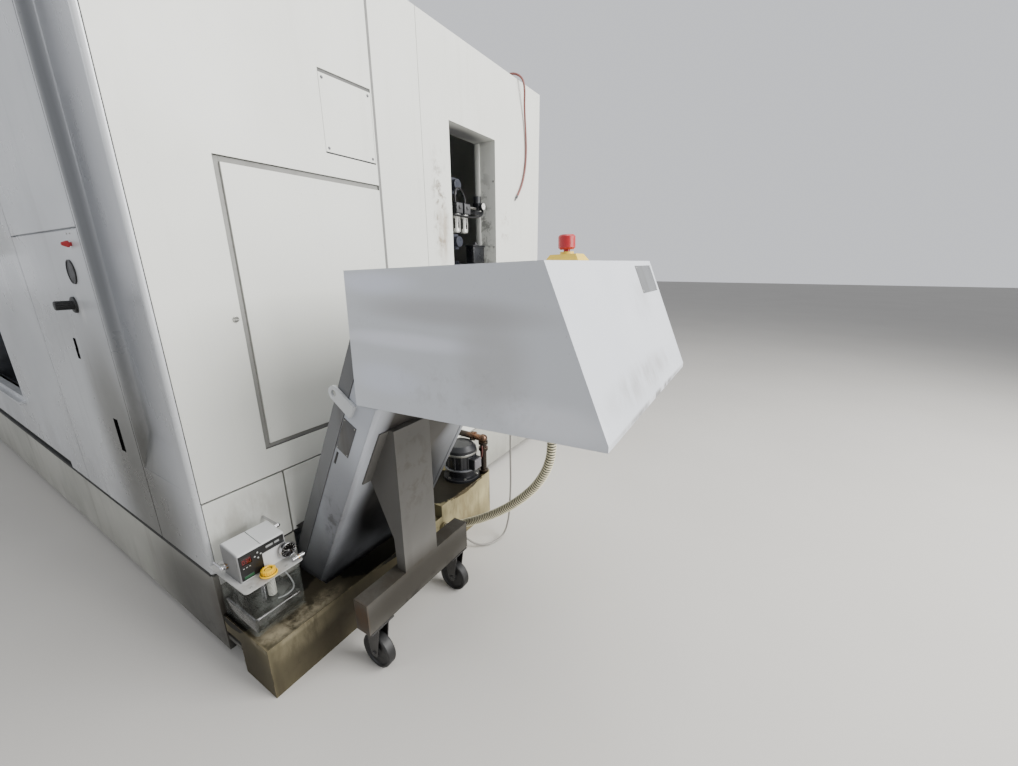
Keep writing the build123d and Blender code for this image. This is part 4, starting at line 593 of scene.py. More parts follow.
def round_cord(name, route, diameter, material, node):
    """Plain round cord on its smooth line, standing for its solid."""
    curve = cord_line(route)
    length = evenly(line_points(curve.copy()), 0.01)[1]
    curve.bevel_depth = diameter / 2
    curve.bevel_resolution = 5
    curve.use_fill_caps = True
    curve.materials.append(material)
    cord = placed(name, curve)
    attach(cord, "machine")
    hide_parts(node)


# Cord routes, as in the model
hose_route = [
    (788, 800, 896), (788, 800, 800), (806, 801, 702), (800, 802, 600),
    (752, 801, 498), (672, 800, 404), (574, 798, 318), (462, 797, 242),
    (372, 799, 189), (290, 800, 144),
]
cable_route = [
    (476, 1062, 885), (476, 1062, 780), (472, 1061, 660), (473, 1060, 540),
    (471, 1062, 420), (471, 1065, 300), (467, 1064, 190), (462, 1060, 96),
    (452, 1040, 24), (440, 990, 7), (418, 935, 8), (376, 900, 16),
    (326, 886, 46), (282, 880, 60),
]
line_route = [
    (-104, 1896, 2324), (-60, 1902, 2331), (-8, 1914, 2332), (32, 1930, 2304),
    (34, 1948, 2252), (20, 1968, 2192), (12, 1990, 2120), (10, 2006, 2040),
    (9, 2014, 1960), (9, 2008, 1880), (9, 1984, 1800), (9, 1944, 1730),
    (9, 1902, 1684),
]
hose_radius, cable_radius, line_radius = 18.0, 4.5, 6.0
hose_sides = 20


def beyond(route, reach):
    """Point past the end of a route, in line with its last run."""
    last, end = vec(route[-2]), vec(route[-1])
    return end + (end - last) / np.linalg.norm(end - last) * reach


def corrugated_hose(material):
    """Drain hose: rings whose radius follows a sharpened cosine of the length over a pitch,
    radius = outer - depth (1 - sign(w) |w|^0.6) / 2 with w = cos(2 pi length / pitch).
    """
    pitch, outer, depth = 0.0105, hose_radius / 1000.0, 0.0034
    line, length = evenly(line_points(cord_line(hose_route)), pitch / 8)
    along = np.linspace(0.0, length, len(line))
    wave = np.cos(2 * math.pi * along / pitch)
    sink = (1.0 - np.sign(wave) * np.abs(wave) ** 0.6) / 2
    rows = np.concatenate([sink[:1], sink, sink[-1:]])
    skin = pipe_along(line, outer - depth * sink, hose_sides)
    hose = piece("drain_hose_skin", skin, material, raw=True, smooth=80.0,
                 groove=np.repeat(rows, hose_sides))
    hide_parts("drain_hose")


def relief(name, route, radius, length, material):
    """Tapered rubber sleeve round the start of a cord, with a few shallow grooves."""
    start, ahead = vec(route[0]), vec(route[1]) - route[0]
    count, depth, thick, taper = 3, 0.12, 2.0, 0.75
    steps = np.linspace(0.0, 1.0, 8 * count + 1)
    grooves = depth * radius * (np.cos(steps * count * 2 * math.pi) < -0.3)
    rise = radius * (thick - taper * steps) - grooves
    profile = np.vstack([[0.0, 0.0], np.column_stack([rise, steps * length]), [0.0, length]])
    return piece(name, turned(profile, start, ahead, 20), material)


# Places on the sloping conveyor and on the hood's end

slope_angle = math.radians(62)
slope_foot = vec((506, 0, 912))
slope_along = vec((math.cos(slope_angle), 0, math.sin(slope_angle)))
slope_across = vec((-math.sin(slope_angle), 0, math.cos(slope_angle)))
trunk_axes = [slope_along, slope_across, toward_front]
trunk_near, trunk_far = 288.0, 855.0
hood_end_top, hood_end_low = vec((1022, 0, 1305)), vec((1168, 0, 962))
hood_end_down = (hood_end_low - hood_end_top) / np.linalg.norm(hood_end_low - hood_end_top)
hood_end_out = vec((-hood_end_down[2], 0, hood_end_down[0]))


def on_slope(along, across, y):
    """Point beside the conveyor: distance up the slope, above its underside, and depth."""
    return slope_foot + slope_along * along + slope_across * across + (0.0, y, 0.0)


def on_hood_end(down, y, out=0.0):
    """Point on the hood's leaning end face."""
    return hood_end_top + hood_end_down * down + hood_end_out * out + (0.0, y, 0.0)


def trunk_and_hood_details():
    """Unmarked plates of the trunk and of the hood's end with their rivets, the dark slot of
    the trunk, and the folded edges of its side plates along both sides of its underside.
    """
    up, across, thick = -172, 71, 1.5
    middle = on_slope(up, across, trunk_near - thick / 2)
    plate = turned_block(middle, (122, 57, thick), thick / 3, trunk_axes)
    piece("trunk_plate", plate, dark_plate)
    heads("trunk_plate_rivets", [
        on_slope(up + a, across + c, trunk_near - 1.4) for a in (-55, 55) for c in (-23, 23)
    ], toward_front, 2.4, 1.6, zinc)
    down, depth, thick = 60, 968, 1.2
    axes = [inward, hood_end_down, hood_end_out]
    plate = turned_block(on_hood_end(down, depth, thick / 2), (183, 88, thick), 0.5, axes)
    piece("hood_plate", plate, worn_plate)
    heads("hood_plate_rivets", [
        on_hood_end(down + d, depth + y, 1.1) for d in (-38, 38) for y in (-85, 85)
    ], hood_end_out, 2.4, 1.5, zinc)
    slot = turned_block(on_slope(-272, 88, trunk_near - 0.4), (50, 9, 1.0), 0.4, trunk_axes)
    piece("trunk_slot", slot, black_plastic)
    axes = [slope_along, inward, slope_across]
    piece("trunk_lips", [
        turned_block(on_slope(-384, -1.2, y), (764, 24, 2.6), 0.8, axes)
        for y in (trunk_near + 12, trunk_far - 12)
    ], conveyor_blue)


def cover_screws():
    """Four screws of the small cover and the bolts round the service opening."""
    heads("small_cover_screws", [(0, y, z) for y in (619, 812) for z in (1690, 1904)],
          toward_right, 5, 2.8, skirt_paint, 18)
    piece("service_screws", [
        round_head((-14, y, z), (0, sense, 0), 6, 3.2, 18)
        for y, sense in ((1680, -1), (1288, 1)) for z in (1040, 1390, 1740)
    ], zinc)


# Lubrication unit

# Bars of an 8: start and end across in widths, then start and end upward in half heights
bars_of_8 = {
    "a": (0, 1, 2, 2), "b": (1, 1, 1, 2), "c": (1, 1, 0, 1), "d": (0, 1, 0, 0),
    "e": (0, 0, 0, 1), "f": (0, 0, 1, 2), "g": (0, 1, 1, 1),
}
lit_bars = {"0": "abcdef", "3": "abcdg"}
figure_width, figure_height, bar_width, bar_height, bar_gap = 5.4, 11.5, 1.3, 0.6, 0.5
display_x = 167.0
neck_x, neck_y = 193, 80


def digit(sign, y, z):
    """Seven-segment figure: each lit bar is a slim block between the corners of an 8."""
    shapes, half = [], bar_width / 2
    for name in lit_bars[sign]:
        y0, y1, z0, z1 = bars_of_8[name]
        gap_y, gap_z = (bar_gap, 0.0) if z0 == z1 else (0.0, bar_gap)
        y0, y1 = y + figure_width * y0, y + figure_width * y1
        z0, z1 = z + figure_height / 2 * z0, z + figure_height / 2 * z1
        low = (display_x, y0 + gap_y - half, z0 + gap_z - half)
        high = (display_x + bar_height, y1 - gap_y + half, z1 - gap_z + half)
        shapes.append(rounded_block(low, high, 0.25))
    return joined(shapes)


def dial(name, centre, radius, face, marks, ticks, needle, sweep=270.0):
    """Round dial that looks along X: disc, tick marks over a sweep of angle and a needle at a
    share of it.
    """
    ahead = vec(toward_right)
    disc = [(0, 0), (radius, 0), (radius, 0.5), (0, 0.5)]
    piece(name + "_face", turned(disc, centre, ahead, 40), face)
    lift = centre + ahead * 0.7

    def bar(degrees, share, length, width, height):
        angle = math.radians(degrees)
        out = vec((0, math.sin(angle), math.cos(angle)))
        size = (radius * length, radius * width, height)
        axes = [out, np.cross(ahead, out), ahead]
        return turned_block(lift + out * radius * share, size, 0.12, axes)

    bars = [bar(a, 0.82, 0.2, 0.06, 0.4) for a in np.linspace(-sweep / 2, sweep / 2, ticks)]
    bars.append(bar((needle - 0.5) * sweep, 0.28, 0.85, 0.07, 0.5))
    hub = [(0, 0), (radius * 0.12, 0), (radius * 0.12, 0.8), (0, 0.8)]
    piece(name + "_marks", bars + [turned(hub, lift, ahead, 16)], marks)


def lube_unit():
    """Display figures, keys, gauge dial, oil, tubes and screws of the lubrication unit."""
    figures = [digit(sign, 25.5 + 8.6 * n, 438) for n, sign in enumerate("030")]
    piece("display_figures", figures, red_glow)
    blocks("display_glass", red_glass, [((166.9, 22.2, 431.2), (167.3, 51.8, 456.8), 0.15)])
    dome, y, z = [(0, 0), (2.7, 0), (2.4, 0.5), (0, 0.8)], 69.75, 444.0
    piece("face_keys", [
        turned(dome, (168.9, y + dy, z + dz), toward_right, 18)
        for dy, dz in ((-9, 0), (9, 0), (0, 9), (0, -9))
    ], light_keys)
    blocks("green_key", green_key, [((168.8, 23, 387.6), (169.8, 51, 396.4), 0.4)])
    blocks("face_lamps", light_keys, [
        ((167.8, y, 422.0), (168.5, y + 4, 424.5), 0.3) for y in (24, 33, 42)
    ])
    blocks("strip_fields", grey_plastic, [
        ((167.8, y0, 451), (168.4, y1, 458), 0.25) for y0, y1 in ((96, 118), (123, 138))
    ])
    dial("lube_gauge_dial", (187.4, 152, 415), 22.0, display_back, dial_grey, 11, 0.25)
    blocks("reservoir_oil", oil, [((25, 11, 210), (207, 163, 262), 8, 5)])
    tube = curve_through([(117, 120, 366), (122, 150, 320), (150, 162, 276), (180, 150, 266),
                          (190, 122, 266), (180, 98, 264)])
    piece("suction_tube", pipe_along(tube, 2.3, 12, (0.2, 0, 1)), grey_plastic)
    turns, top, deep, sides = 14, 372.0, 66.0, 24
    radius, groove_depth = 12.4, 1.6
    steps = np.linspace(0.0, 1.0, turns * 8 + 1)
    sunk = 0.5 - 0.5 * np.cos(steps * turns * 2 * math.pi)
    profile = np.column_stack([radius - groove_depth * sunk, top - deep * steps])
    profile = np.vstack([[0.0, top], profile, [0.0, top - deep]])
    rows = np.concatenate([[0.0], sunk, [0.0]])
    basket = turned(profile, (neck_x, neck_y, 0), upward, sides)
    piece("filler_strainer", basket, basket_plastic, groove=np.repeat(rows, sides))
    collar = [(21, 366), (25, 366), (25, 371.5), (21, 371.5), (21, 366)]
    piece("filler_collar", ring_form(collar, (neck_x, neck_y, 0), 40, 0.62), light_keys)
    bead = [(-0.9, -0.4), (0.9, -0.4), (0.9, 0.5), (-0.9, 0.5), (-0.9, -0.4)]
    # Grime rings in the cap's joints, dark also as painted shade there
    piece("cap_joint_grime_and_shade", [
        ring_form([(radius + r, z) for r, z in bead], (neck_x, neck_y, level), 40)
        for radius, level in ((21.4, 384.6), (10.2, 394.6))
    ], cap_shade_and_grime, "filler_cap")
    places = [(24, 22, 378), (24, 150, 378), (205, 20, 378), (205, 128, 378)]
    heads("shelf_screws", places, upward, 4.2, 2.4, zinc)
    piece("union_nuts", [
        hexagon_head((94, 12, 413), toward_front, 20, 7),
        hexagon_head((94, 158, 458), inward, 20, 7),
        hexagon_head((208, 166, 387), inward, 16, 5),
    ], brass)


# Pump end of the tank

pump_x, pump_y = 150, 1095
bolt_circle, bolt_level = 82, 242


def pump_details():
    """Bands, cover plate, bolts, middle flange, gland and short lead of the coolant pump."""
    band = [(75.5, 0), (83.5, 0), (84.5, 3), (84.5, 8), (83.5, 11), (75.5, 11), (75.5, 0)]
    piece("pump_band", ring_form(band, (pump_x, pump_y, 366), 60), zinc)
    blocks("pump_box_lid", grey_box, [((254.5, 1068, 296), (259, 1122, 350), 1.6)])
    places = [(259, y, z) for y in (1074, 1116) for z in (302, 344)]
    heads("pump_box_screws", places, toward_right, 3, 2, zinc)
    bolts = []
    for angle in np.radians((20, 80, 140, 200, 260, 320)):
        x, y = pump_x + bolt_circle * math.cos(angle), pump_y + bolt_circle * math.sin(angle)
        bolts.append(hexagon_head((x, y, bolt_level), upward, 13, 7))
    piece("pump_flange_bolts", bolts, zinc)
    flange = [(67, 0), (84, 0), (87, 2), (87, 9), (84, 11), (67, 11), (67, 0)]
    branch = pipe_along([(205, 1128, 290), (218, 1140, 290), (228, 1158, 290)], 9, 14, upward)
    flange = ring_form(flange, (pump_x, pump_y, 284), 60)
    piece("pump_middle_flange", [flange, branch], sheet_steel)
    lead = curve_through([
        (238, 1122, 322), (238, 1136, 322), (240, 1148, 330), (244, 1152, 352), (242, 1156, 380),
        (235, 1166, 400),
    ])
    piece("pump_jumper", pipe_along(lead, 4.0, 12, toward_right), lead_sheath)
    gland = turned([(0, 0), (8, 0), (8, 8), (5.5, 14), (0, 14)], (238, 1120, 322), inward, 12)
    piece("pump_gland", gland, brass)


def curve_through(path, fine=8):
    """Smooth line through points: Catmull-Rom, each span a cubic of its four neighbours."""
    p = vec(path)
    p = np.vstack([2 * p[0] - p[1], p, 2 * p[-1] - p[-2]])
    t = np.linspace(0.0, 1.0, fine, endpoint=False)[None, :, None]
    a, b, c, d = p[:-3, None], p[1:-2, None], p[2:-1, None], p[3:, None]
    square, cube = 2 * a - 5 * b + 4 * c - d, 3 * b - a - 3 * c + d
    spans = 0.5 * (2 * b + (c - a) * t + square * t**2 + cube * t**3)
    return np.vstack([spans.reshape(-1, 3), p[-2]])


# Service opening

air_row_x = -70.0
air_bodies = (1404.0, 1470.0)


def service_details():
    """Bowl guards, body plates, gauge, tubes, junction box and far edge of the opening."""
    x = air_row_x
    guards, windows, plates = [], [], []
    cup = [(0, 0), (17, 0), (21.5, 5), (22.5, 18), (22.5, 80), (25, 84), (25, 92), (0, 92)]
    cap = [(0, 0), (11, 0), (11, 6), (8, 9), (0, 9)]
    for y in air_bodies:
        guards.append(turned(cup, (x, y, 1456), upward, 28))
        for angle in np.radians((-75, -15, 45)):
            out = vec((math.cos(angle), math.sin(angle), 0))
            axes = [out, (-out[1], out[0], 0.0), upward]
            windows.append(turned_block(out * 22.3 + (x, y, 1501), (1.6, 9, 50), 0.6, axes))
        plates.append(rounded_block((x + 26, y - 24, 1553), (x + 29, y + 24, 1600), 1.2))
        plates.append(turned(cap, (x + 28, y, 1582), toward_right, 18))
    piece("bowl_guards", guards, bowl_metal)
    piece("bowl_windows", windows, display_back)
    piece("air_body_plates", plates, dark_plate)
    outlet = [(x, 1498, 1591), (x, 1540, 1591), (x, 1581, 1591)]
    piece("air_outlet_tube", pipe_along(outlet, 7.0, 16, upward), zinc)
    dial("air_gauge_dial", (-27.9, 1600, 1602), 16.5, dial_white, display_back, 9, 0.4)
    low = [(-42, 1352, 1540), (-38, 1400, 1538), (-36, 1450, 1536), (-34, 1510, 1538),
           (-34, 1576, 1551), (-38, 1606, 1572), (-50, 1610, 1590), (-62, 1608, 1598)]
    high = [(x, 1404, 1600), (x, 1402, 1640), (-72, 1416, 1668), (-72, 1440, 1678),
            (-72, 1466, 1662), (x, 1484, 1632), (x, 1484, 1600)]
    piece("air_tubes", [
        pipe_along(curve_through(path), 5.5, 12, (1, 0, 0.3)) for path in (low, high)
    ], black_plastic)
    gland = [(0, 0), (11, 0), (11, 10), (8, 16), (0, 16)]
    piece("junction_box", [
        rounded_block((-112, 1538, 1300), (-58, 1642, 1388), 4),
        rounded_block((-115, 1534, 1388), (-55, 1646, 1398), 3),
        rounded_block((-104, 1640, 1320), (-98, 1679, 1380), 2),
        turned(gland, (-85, 1590, 1398), upward, 18),
    ], black_casting)
    blocks("jamb_edge", dial_white, [((-132, 1675.5, 1003), (-104, 1679.6, 1940), 1.6)])


# Front of the machine


def frame_of_tube(corners, bend, radius, depth_axis, steps=5):
    """Closed soft frame: a round section carried round a rectangle whose corners are arcs."""
    p = vec(corners)
    points = []
    for n in range(4):
        before, here, after = p[n - 1], p[n], p[(n + 1) % 4]
        a = (before - here) / np.linalg.norm(before - here)
        b = (after - here) / np.linalg.norm(after - here)
        centre = here + (a + b) * bend
        for t in np.linspace(0.0, math.pi / 2, steps):
            points.append(centre - b * bend * math.cos(t) - a * bend * math.sin(t))
    path = np.array(points)
    ahead = np.roll(path, -1, axis=0) - np.roll(path, 1, axis=0)
    ahead /= np.linalg.norm(ahead, axis=1)[:, None]
    first = np.broadcast_to(vec(depth_axis), path.shape)
    rings = circles_on(first, np.cross(ahead, first), 10)
    return grid(path[:, None] + radius * rings, wrap_u=True, wrap_v=True)


panel_corner = vec((-1960, -90, 1360))
panel_lean, panel_height = 30.0, 630.0


def front_details():
    """Window seal, screen glass and key caps of the front."""
    left, right, low, high, y = -4174, -3360, 1010, 1800, -41.5
    corners = [(left, y, low), (right, y, low), (right, y, high), (left, y, high)]
    piece("window_seal", frame_of_tube(corners, 18.0, 4.0, inward), rubber, "door", 60)
    slope = vec((0, panel_lean, panel_height)) / math.hypot(panel_lean, panel_height)
    out = vec((0, -slope[2], slope[1]))
    axes = [toward_right, slope, out]

    def on_panel(x, up, lift, size, radius):
        return turned_block(panel_corner + vec(axes).T @ (x, up, lift), size, radius, axes)

    piece("screen_glass", on_panel(200, 469.7, -3.4, (306, 228, 1.0), 0.4), screen_dark)
    first_x, first_up, pitch = 57, 295.7, 36
    piece("key_caps", [
        on_panel(first_x + pitch * column, first_up - pitch * row, 3.6, (21, 21, 1.6), 0.6)
        for row in range(6) for column in range(8)
    ], light_keys)


def linings_and_screws():
    """Dark strips as painted shade in the slots, seams and gaps of the covers and under the small
    cover, rubber seal strips that also shade the base's gap, and the push button's screws.
    """
    # Black matte blocks fill the panel slots, as painted shade of their depth
    blocks("panel_slot_shade", slot_shade, [
        ((-541, -0.9, 650), (-504, 3, 774), 0.8),
        ((-736, -0.8, 1004), (-710, 3, 1046), 0.7),
        ((-739, -0.9, 970), (-714, 3, 1008), 0.7),
    ])
    # Rubber seal strips in the gap over the base and in the slot at that gap, black also as
    # painted shade there
    blocks("base_gap_seal_and_shade", rubber, [
        ((-4386, -0.9, 331), (-14, 24, 346), 0.9),
        ((-24, 14, 335.5), (-2, 268, 342.5), 1.0),
        ((-3180, 10, 343), (-1401, 24, 376), 1.0),
    ])
    # Grey strips in the side seam and round the access panel, as painted shade of the gaps
    blocks("side_seam_shade", grey_gap_shade, [((-4, 832, 344), (0.7, 844, 2296), 0.5)])
    blocks("panel_gap_shade", pale_gap_shade, [
        ((-13, 231, 691), (-7, 247, 1598), 0.6),
        ((-13, 247, 1582), (-7, 830, 1598), 0.6),
        ((-13, 247, 691), (-7, 830, 707), 0.6),
    ])
    # Black line under the small cover's lower edge, as painted shade
    blocks("small_cover_shade_line", rubber, [((-3, 605, 1672.5), (0.8, 826, 1677.5), 0.5)])
    places = [(-470, 0, 1392), (-440, 0, 1392)]
    heads("button_screws", places, toward_front, 3.2, 1.8, zinc, 16)


# Finishes of the pieces

side_stains_and_shade = [
    ((0, 1200, 1560), (50, 74, 330), (0.40, 0.34, 0.26), 0.75, "blotched"),
    ((0, 1215, 1440), (50, 60, 200), (0.52, 0.43, 0.31), 0.60, "ragged"),
    ((0, 1775, 1510), (50, 70, 150), (0.56, 0.50, 0.42), 0.45, "blotched"),
    # Painted shade under the top edge of the service opening
    ((-95, 1484, 1943), (94, 320, 34), (0.40, 0.40, 0.41), 0.92),
    ((-70, 1680, 1440), (68, 20, 480), (0.20, 0.20, 0.17), 0.60, "blotched"),
    ((0, 120, 480), (60, 190, 130), (0.46, 0.42, 0.34), 0.35, "ragged"),
    ((0, 300, 600), (60, 160, 60), (0.50, 0.48, 0.42), 0.20, "ragged"),
]
side_look = ((0.865, 0.87, 0.845), 0.46, 0.05, 0.06, 0.25, 0.22)
side_dirt = {"low": (620, 0.14), "dirt": (0.44, 0.40, 0.32)}
side_white = painted("side cover paint", *side_look, spots=side_stains_and_shade, **side_dirt)
# Side cover paint whose recesses are darkened as painted shade
side_pocket = painted(
    "side cover paint with painted shade in recesses", *side_look, shade_behind=("X", -1.5, -1), **side_dirt,
)
front_grey = painted(
    "front cover paint", (0.83, 0.84, 0.85), 0.30, 0.12, 0.10, 0.35, 0.30,
    low=(900, 0.40), dirt=(0.30, 0.29, 0.28), metal=0.15,
    spots=[
        # The five smooth spots are painted shade: over the corner column, in its groove, on the
        # groove's steep flank, over the panels' lower right, and darkest at the lower right
        # corner, where it is also dirt
        ((-190, 0, 1300), (262, 220, 1700), (0.68, 0.69, 0.71), 0.80),
        ((-200, 42, 1500), (420, 43, 1500), (0.54, 0.55, 0.57), 0.90),
        ((-350, 17, 1500), (15, 34, 1600), (0.48, 0.49, 0.505), 0.95),
        ((-500, 0, 760), (300, 200, 430), (0.46, 0.46, 0.445), 0.85),
        ((-390, 0, 430), (440, 240, 500), (0.32, 0.32, 0.305), 0.93),
        ((-330, 0, 760), (60, 60, 360), (0.33, 0.33, 0.32), 0.55, "ragged"),
        ((-540, 0, 1160), (40, 40, 70), (0.92, 0.92, 0.92), 0.55, "ragged"),
        ((-722, 0, 1010), (16, 20, 48), (0.36, 0.22, 0.12), 0.75, "ragged"),
        ((-640, 0, 900), (60, 40, 160), (0.50, 0.49, 0.47), 0.40, "ragged"),
    ],
)
door_white = painted("door paint", (0.82, 0.825, 0.82), 0.40, 0.06, 0.08, 0.3, 0.3)
base_paint = painted(
    "base paint", (0.68, 0.68, 0.65), 0.60, 0.22, 0.26, 0.6, 0.45, dirt=(0.27, 0.24, 0.20),
    low=(330, 0.30), spots=[
        # The two smooth spots are painted shade: towards the right front corner, with dirt there
        # too, and on the base's right end
        ((-120, 0, 150), (620, 240, 360), (0.22, 0.215, 0.20), 0.90),
        ((0, 60, 180), (90, 170, 210), (0.20, 0.18, 0.15), 0.85),
        ((-60, 20, 60), (200, 90, 120), (0.12, 0.11, 0.09), 0.70, "blotched"),
    ],
)
shelf_paint = painted(
    "shelf paint", (0.74, 0.74, 0.73), 0.5, 0.18, 0.10, 0.7, 0.5, dirt=(0.30, 0.26, 0.20),
    spots=[((190, 60, 378), (60, 90, 20), (0.40, 0.33, 0.22), 0.55, "ragged")],
)
housing_plastic = painted(
    "pump housing plastic", (0.82, 0.825, 0.825), 0.42, 0.10, 0.04, 0.3, 0.2, peel=0.00002,
    # Painted shade: the smooth spot darkens the housing's front side
    spots=[((117, 12, 425), (190, 9, 170), (0.36, 0.36, 0.36), 0.90)],
)
tank_paint = painted(
    "tank paint", (0.68, 0.64, 0.49), 0.62, 0.30, 0.50, 0.7, 0.7, dirt=(0.15, 0.12, 0.09),
    # The light beige of worn edges also paints a highlight along the tank's rims
    low=(150, 0.55), bare=(0.66, 0.60, 0.48), gloss=0.15,
    spots=[
        # Painted shadow of the hood and leg, with oily dirt, over the tank's near part
        ((140, 260, 100), (420, 760, 380), (0.19, 0.172, 0.135), 0.98),
        ((264, 330, 60), (60, 420, 100), (0.20, 0.17, 0.13), 0.65, "blotched"),
        ((264, 120, 150), (60, 200, 70), (0.50, 0.47, 0.38), 0.40, "ragged"),
        ((215, 110, 178), (72, 230, 22), (0.66, 0.62, 0.52), 0.85, "ragged"),
        ((40, 120, 178), (150, 260, 40), (0.07, 0.06, 0.045), 0.97, "splashed"),
        ((150, 520, 180), (200, 300, 30), (0.06, 0.055, 0.045), 0.95, "splashed"),
        ((150, 1000, 236), (190, 330, 34), (0.06, 0.05, 0.045), 0.97, "splashed"),
        ((264, 870, 200), (30, 90, 60), (0.22, 0.19, 0.13), 0.60, "ragged"),
        ((264, 1010, 120), (40, 260, 190), (0.42, 0.37, 0.26), 0.65, "ragged"),
        ((264, 1213, 150), (60, 60, 170), (0.17, 0.14, 0.10), 0.75, "ragged"),
    ],
)
conveyor_blue = painted(
    "conveyor paint", (0.745, 0.76, 0.79), 0.34, 0.14, 0.05, 0.30, 0.30,
    dirt=(0.28, 0.27, 0.26), low=(820, 0.60), gloss=0.12,
    spots=[
        # The second to fourth spots, smooth and near black, are painted shade over the trunk's
        # underside; the first and fifth darken the near face towards its middle and bottom
        ((300, 288, 560), (200, 30, 330), (0.44, 0.44, 0.45), 0.60),
        ((330, 640, 280), (580, 470, 640), (0.07, 0.07, 0.07), 0.98),
        ((340, 560, 330), (260, 274, 440), (0.12, 0.12, 0.125), 3.0),
        ((500, 560, 740), (260, 274, 420), (0.27, 0.26, 0.25), 3.0),
        ((230, 288, 150), (170, 30, 300), (0.30, 0.30, 0.305), 0.75),
        ((240, 288, 430), (90, 30, 180), (0.24, 0.23, 0.22), 0.55, "blotched"),
    ],
)
lug_paint = painted("lifting plate paint", (0.80, 0.81, 0.82), 0.4, 0.1, 0.05, 0.5, 0.6)
hood_paint = painted(
    "hood paint", (0.825, 0.84, 0.865), 0.34, 0.05, 0.0, 0.22, 0.35, dirt=(0.40, 0.38, 0.37),
    spots=[
        ((1168, 690, 955), (16, 460, 14), (0.24, 0.21, 0.17), 0.90, "ragged"),
        ((1130, 640, 1010), (60, 420, 60), (0.52, 0.50, 0.47), 0.55, "ragged"),
        ((1060, 820, 1190), (60, 150, 110), (0.66, 0.66, 0.66), 0.35, "ragged"),
        # Smooth bands along the near face: painted shade in grey and painted reflections in pale
        # blue
        ((780, 281, 1195), (360, 30, 46), (0.69, 0.69, 0.70), 0.65),
        ((640, 281, 1118), (340, 30, 30), (0.93, 0.94, 0.99), 0.60),
        ((900, 281, 1090), (130, 30, 170), (0.69, 0.69, 0.69), 0.50),
        ((1050, 281, 985), (190, 30, 60), (0.93, 0.94, 0.97), 0.50),
        ((540, 281, 1256), (200, 30, 40), (0.90, 0.92, 0.99), 0.60),
        ((560, 281, 1010), (180, 30, 60), (0.88, 0.90, 0.97), 0.45),
        ((820, 281, 1010), (300, 30, 90), (0.60, 0.60, 0.60), 0.22, "blotched"),
    ],
)
# The leg's colour is set darker than its paint, as painted shade
leg_paint = painted(
    "leg paint", (0.52, 0.51, 0.49), 0.58, 0.22, 0.28, 0.6, 0.5, dirt=(0.17, 0.15, 0.12),
    low=(560, 0.60), gloss=0.2,
    spots=[
        # Painted shade over the leg
        ((446, 456, 600), (260, 460, 560), (0.33, 0.325, 0.315), 0.92),
        ((476, 440, 640), (20, 120, 240), (0.27, 0.25, 0.22), 0.40, "blotched"),
        # Painted shade over the beam
        ((446, 456, 232), (190, 720, 140), (0.20, 0.19, 0.17), 0.97),
        ((446, 456, 290), (120, 460, 12), (0.22, 0.20, 0.17), 0.85, "ragged"),
        ((446, 205, 232), (60, 12, 90), (0.30, 0.23, 0.16), 0.90, "ragged"),
        ((446, 460, 178), (60, 400, 40), (0.10, 0.09, 0.075), 0.90, "blotched"),
    ],
)
skirt_paint = painted("skirt paint", (0.42, 0.425, 0.435), 0.5, 0.3, 0.3, 0.5, 0.5)
dark_plate = painted("dark blank plate", (0.33, 0.33, 0.335), 0.4, 0.6, 0.5, 0.8, 0.8,
                     bare=(0.6, 0.6, 0.6), edge=0.0004)
worn_plate = painted("worn blank plate", (0.50, 0.51, 0.52), 0.4, 0.5, 0.3, 0.8, 0.8,
                     bare=(0.85, 0.85, 0.85), edge=0.0010)
grey_box = painted("pump box paint", (0.44, 0.43, 0.45), 0.45, 0.3, 0.3, 0.6, 0.5)
cast_grey = cast_paint("casting paint", (0.50, 0.52, 0.54))
column_paint = cast_paint("valve column paint", (0.27, 0.28, 0.32), 0.42)
black_casting = cast_paint("black casting", (0.10, 0.105, 0.12), 0.42)
oily_black = cast_paint("oily caster steel", (0.10, 0.095, 0.09), 0.35)
steel = ground_metal("ground steel", (0.66, 0.66, 0.67))
sheet_steel = ground_metal("guard sheet", (0.50, 0.51, 0.53), 0.4, stain=0.4)
zinc = ground_metal("zinc plate", (0.66, 0.66, 0.64), 0.34, stain=0.30)
chrome = ground_metal("chrome plate", (0.78, 0.78, 0.79), 0.14, stain=0.1)
brass = ground_metal("brass", (0.60, 0.47, 0.27), 0.35, stain=0.45, dirt=(0.20, 0.10, 0.05))
oily_pipe = painted(
    "oily pipe", (0.23, 0.20, 0.175), 0.30, 0.3, 0.5, 0.6, 0.5, dirt=(0.07, 0.06, 0.05), metal=0.7,
    bare=(0.5, 0.4, 0.3), spots=[
        ((205, 1180, 432), (90, 60, 34), (0.58, 0.42, 0.31), 0.90, "ragged"),
        ((232, 1180, 366), (60, 60, 26), (0.46, 0.26, 0.15), 0.80, "blotched"),
    ],
)
bowl_metal = ground_metal("bowl guard metal", (0.80, 0.80, 0.78), 0.35, metal=0.6)
black_plastic = moulded("black plastic", (0.055, 0.055, 0.06), 0.38)
grey_plastic = moulded("grey plastic", (0.60, 0.61, 0.61), 0.42, 0.18)
red_plastic = moulded("red plastic", (0.68, 0.11, 0.14), 0.34, 0.2, coat=0.15)
yellow_plastic = moulded("yellow plastic", (0.90, 0.77, 0.30), 0.4, 0.3)
cap_shade_and_grime = moulded("painted shade and grime of the cap", (0.30, 0.20, 0.05), 0.6, 0.3)
yellow_cap = moulded("filler cap plastic", (0.98, 0.78, 0.04), 0.38, 0.05)
red_glow = moulded("lit display red", (0.46, 0.08, 0.09), 0.3, 0.0, glow=(0.70, 0.07, 0.08, 0.16))
display_back = moulded("dark display glass", (0.06, 0.05, 0.05), 0.12, 0.1)
red_glass = moulded("red display glass", (0.17, 0.06, 0.065), 0.14, 0.1)
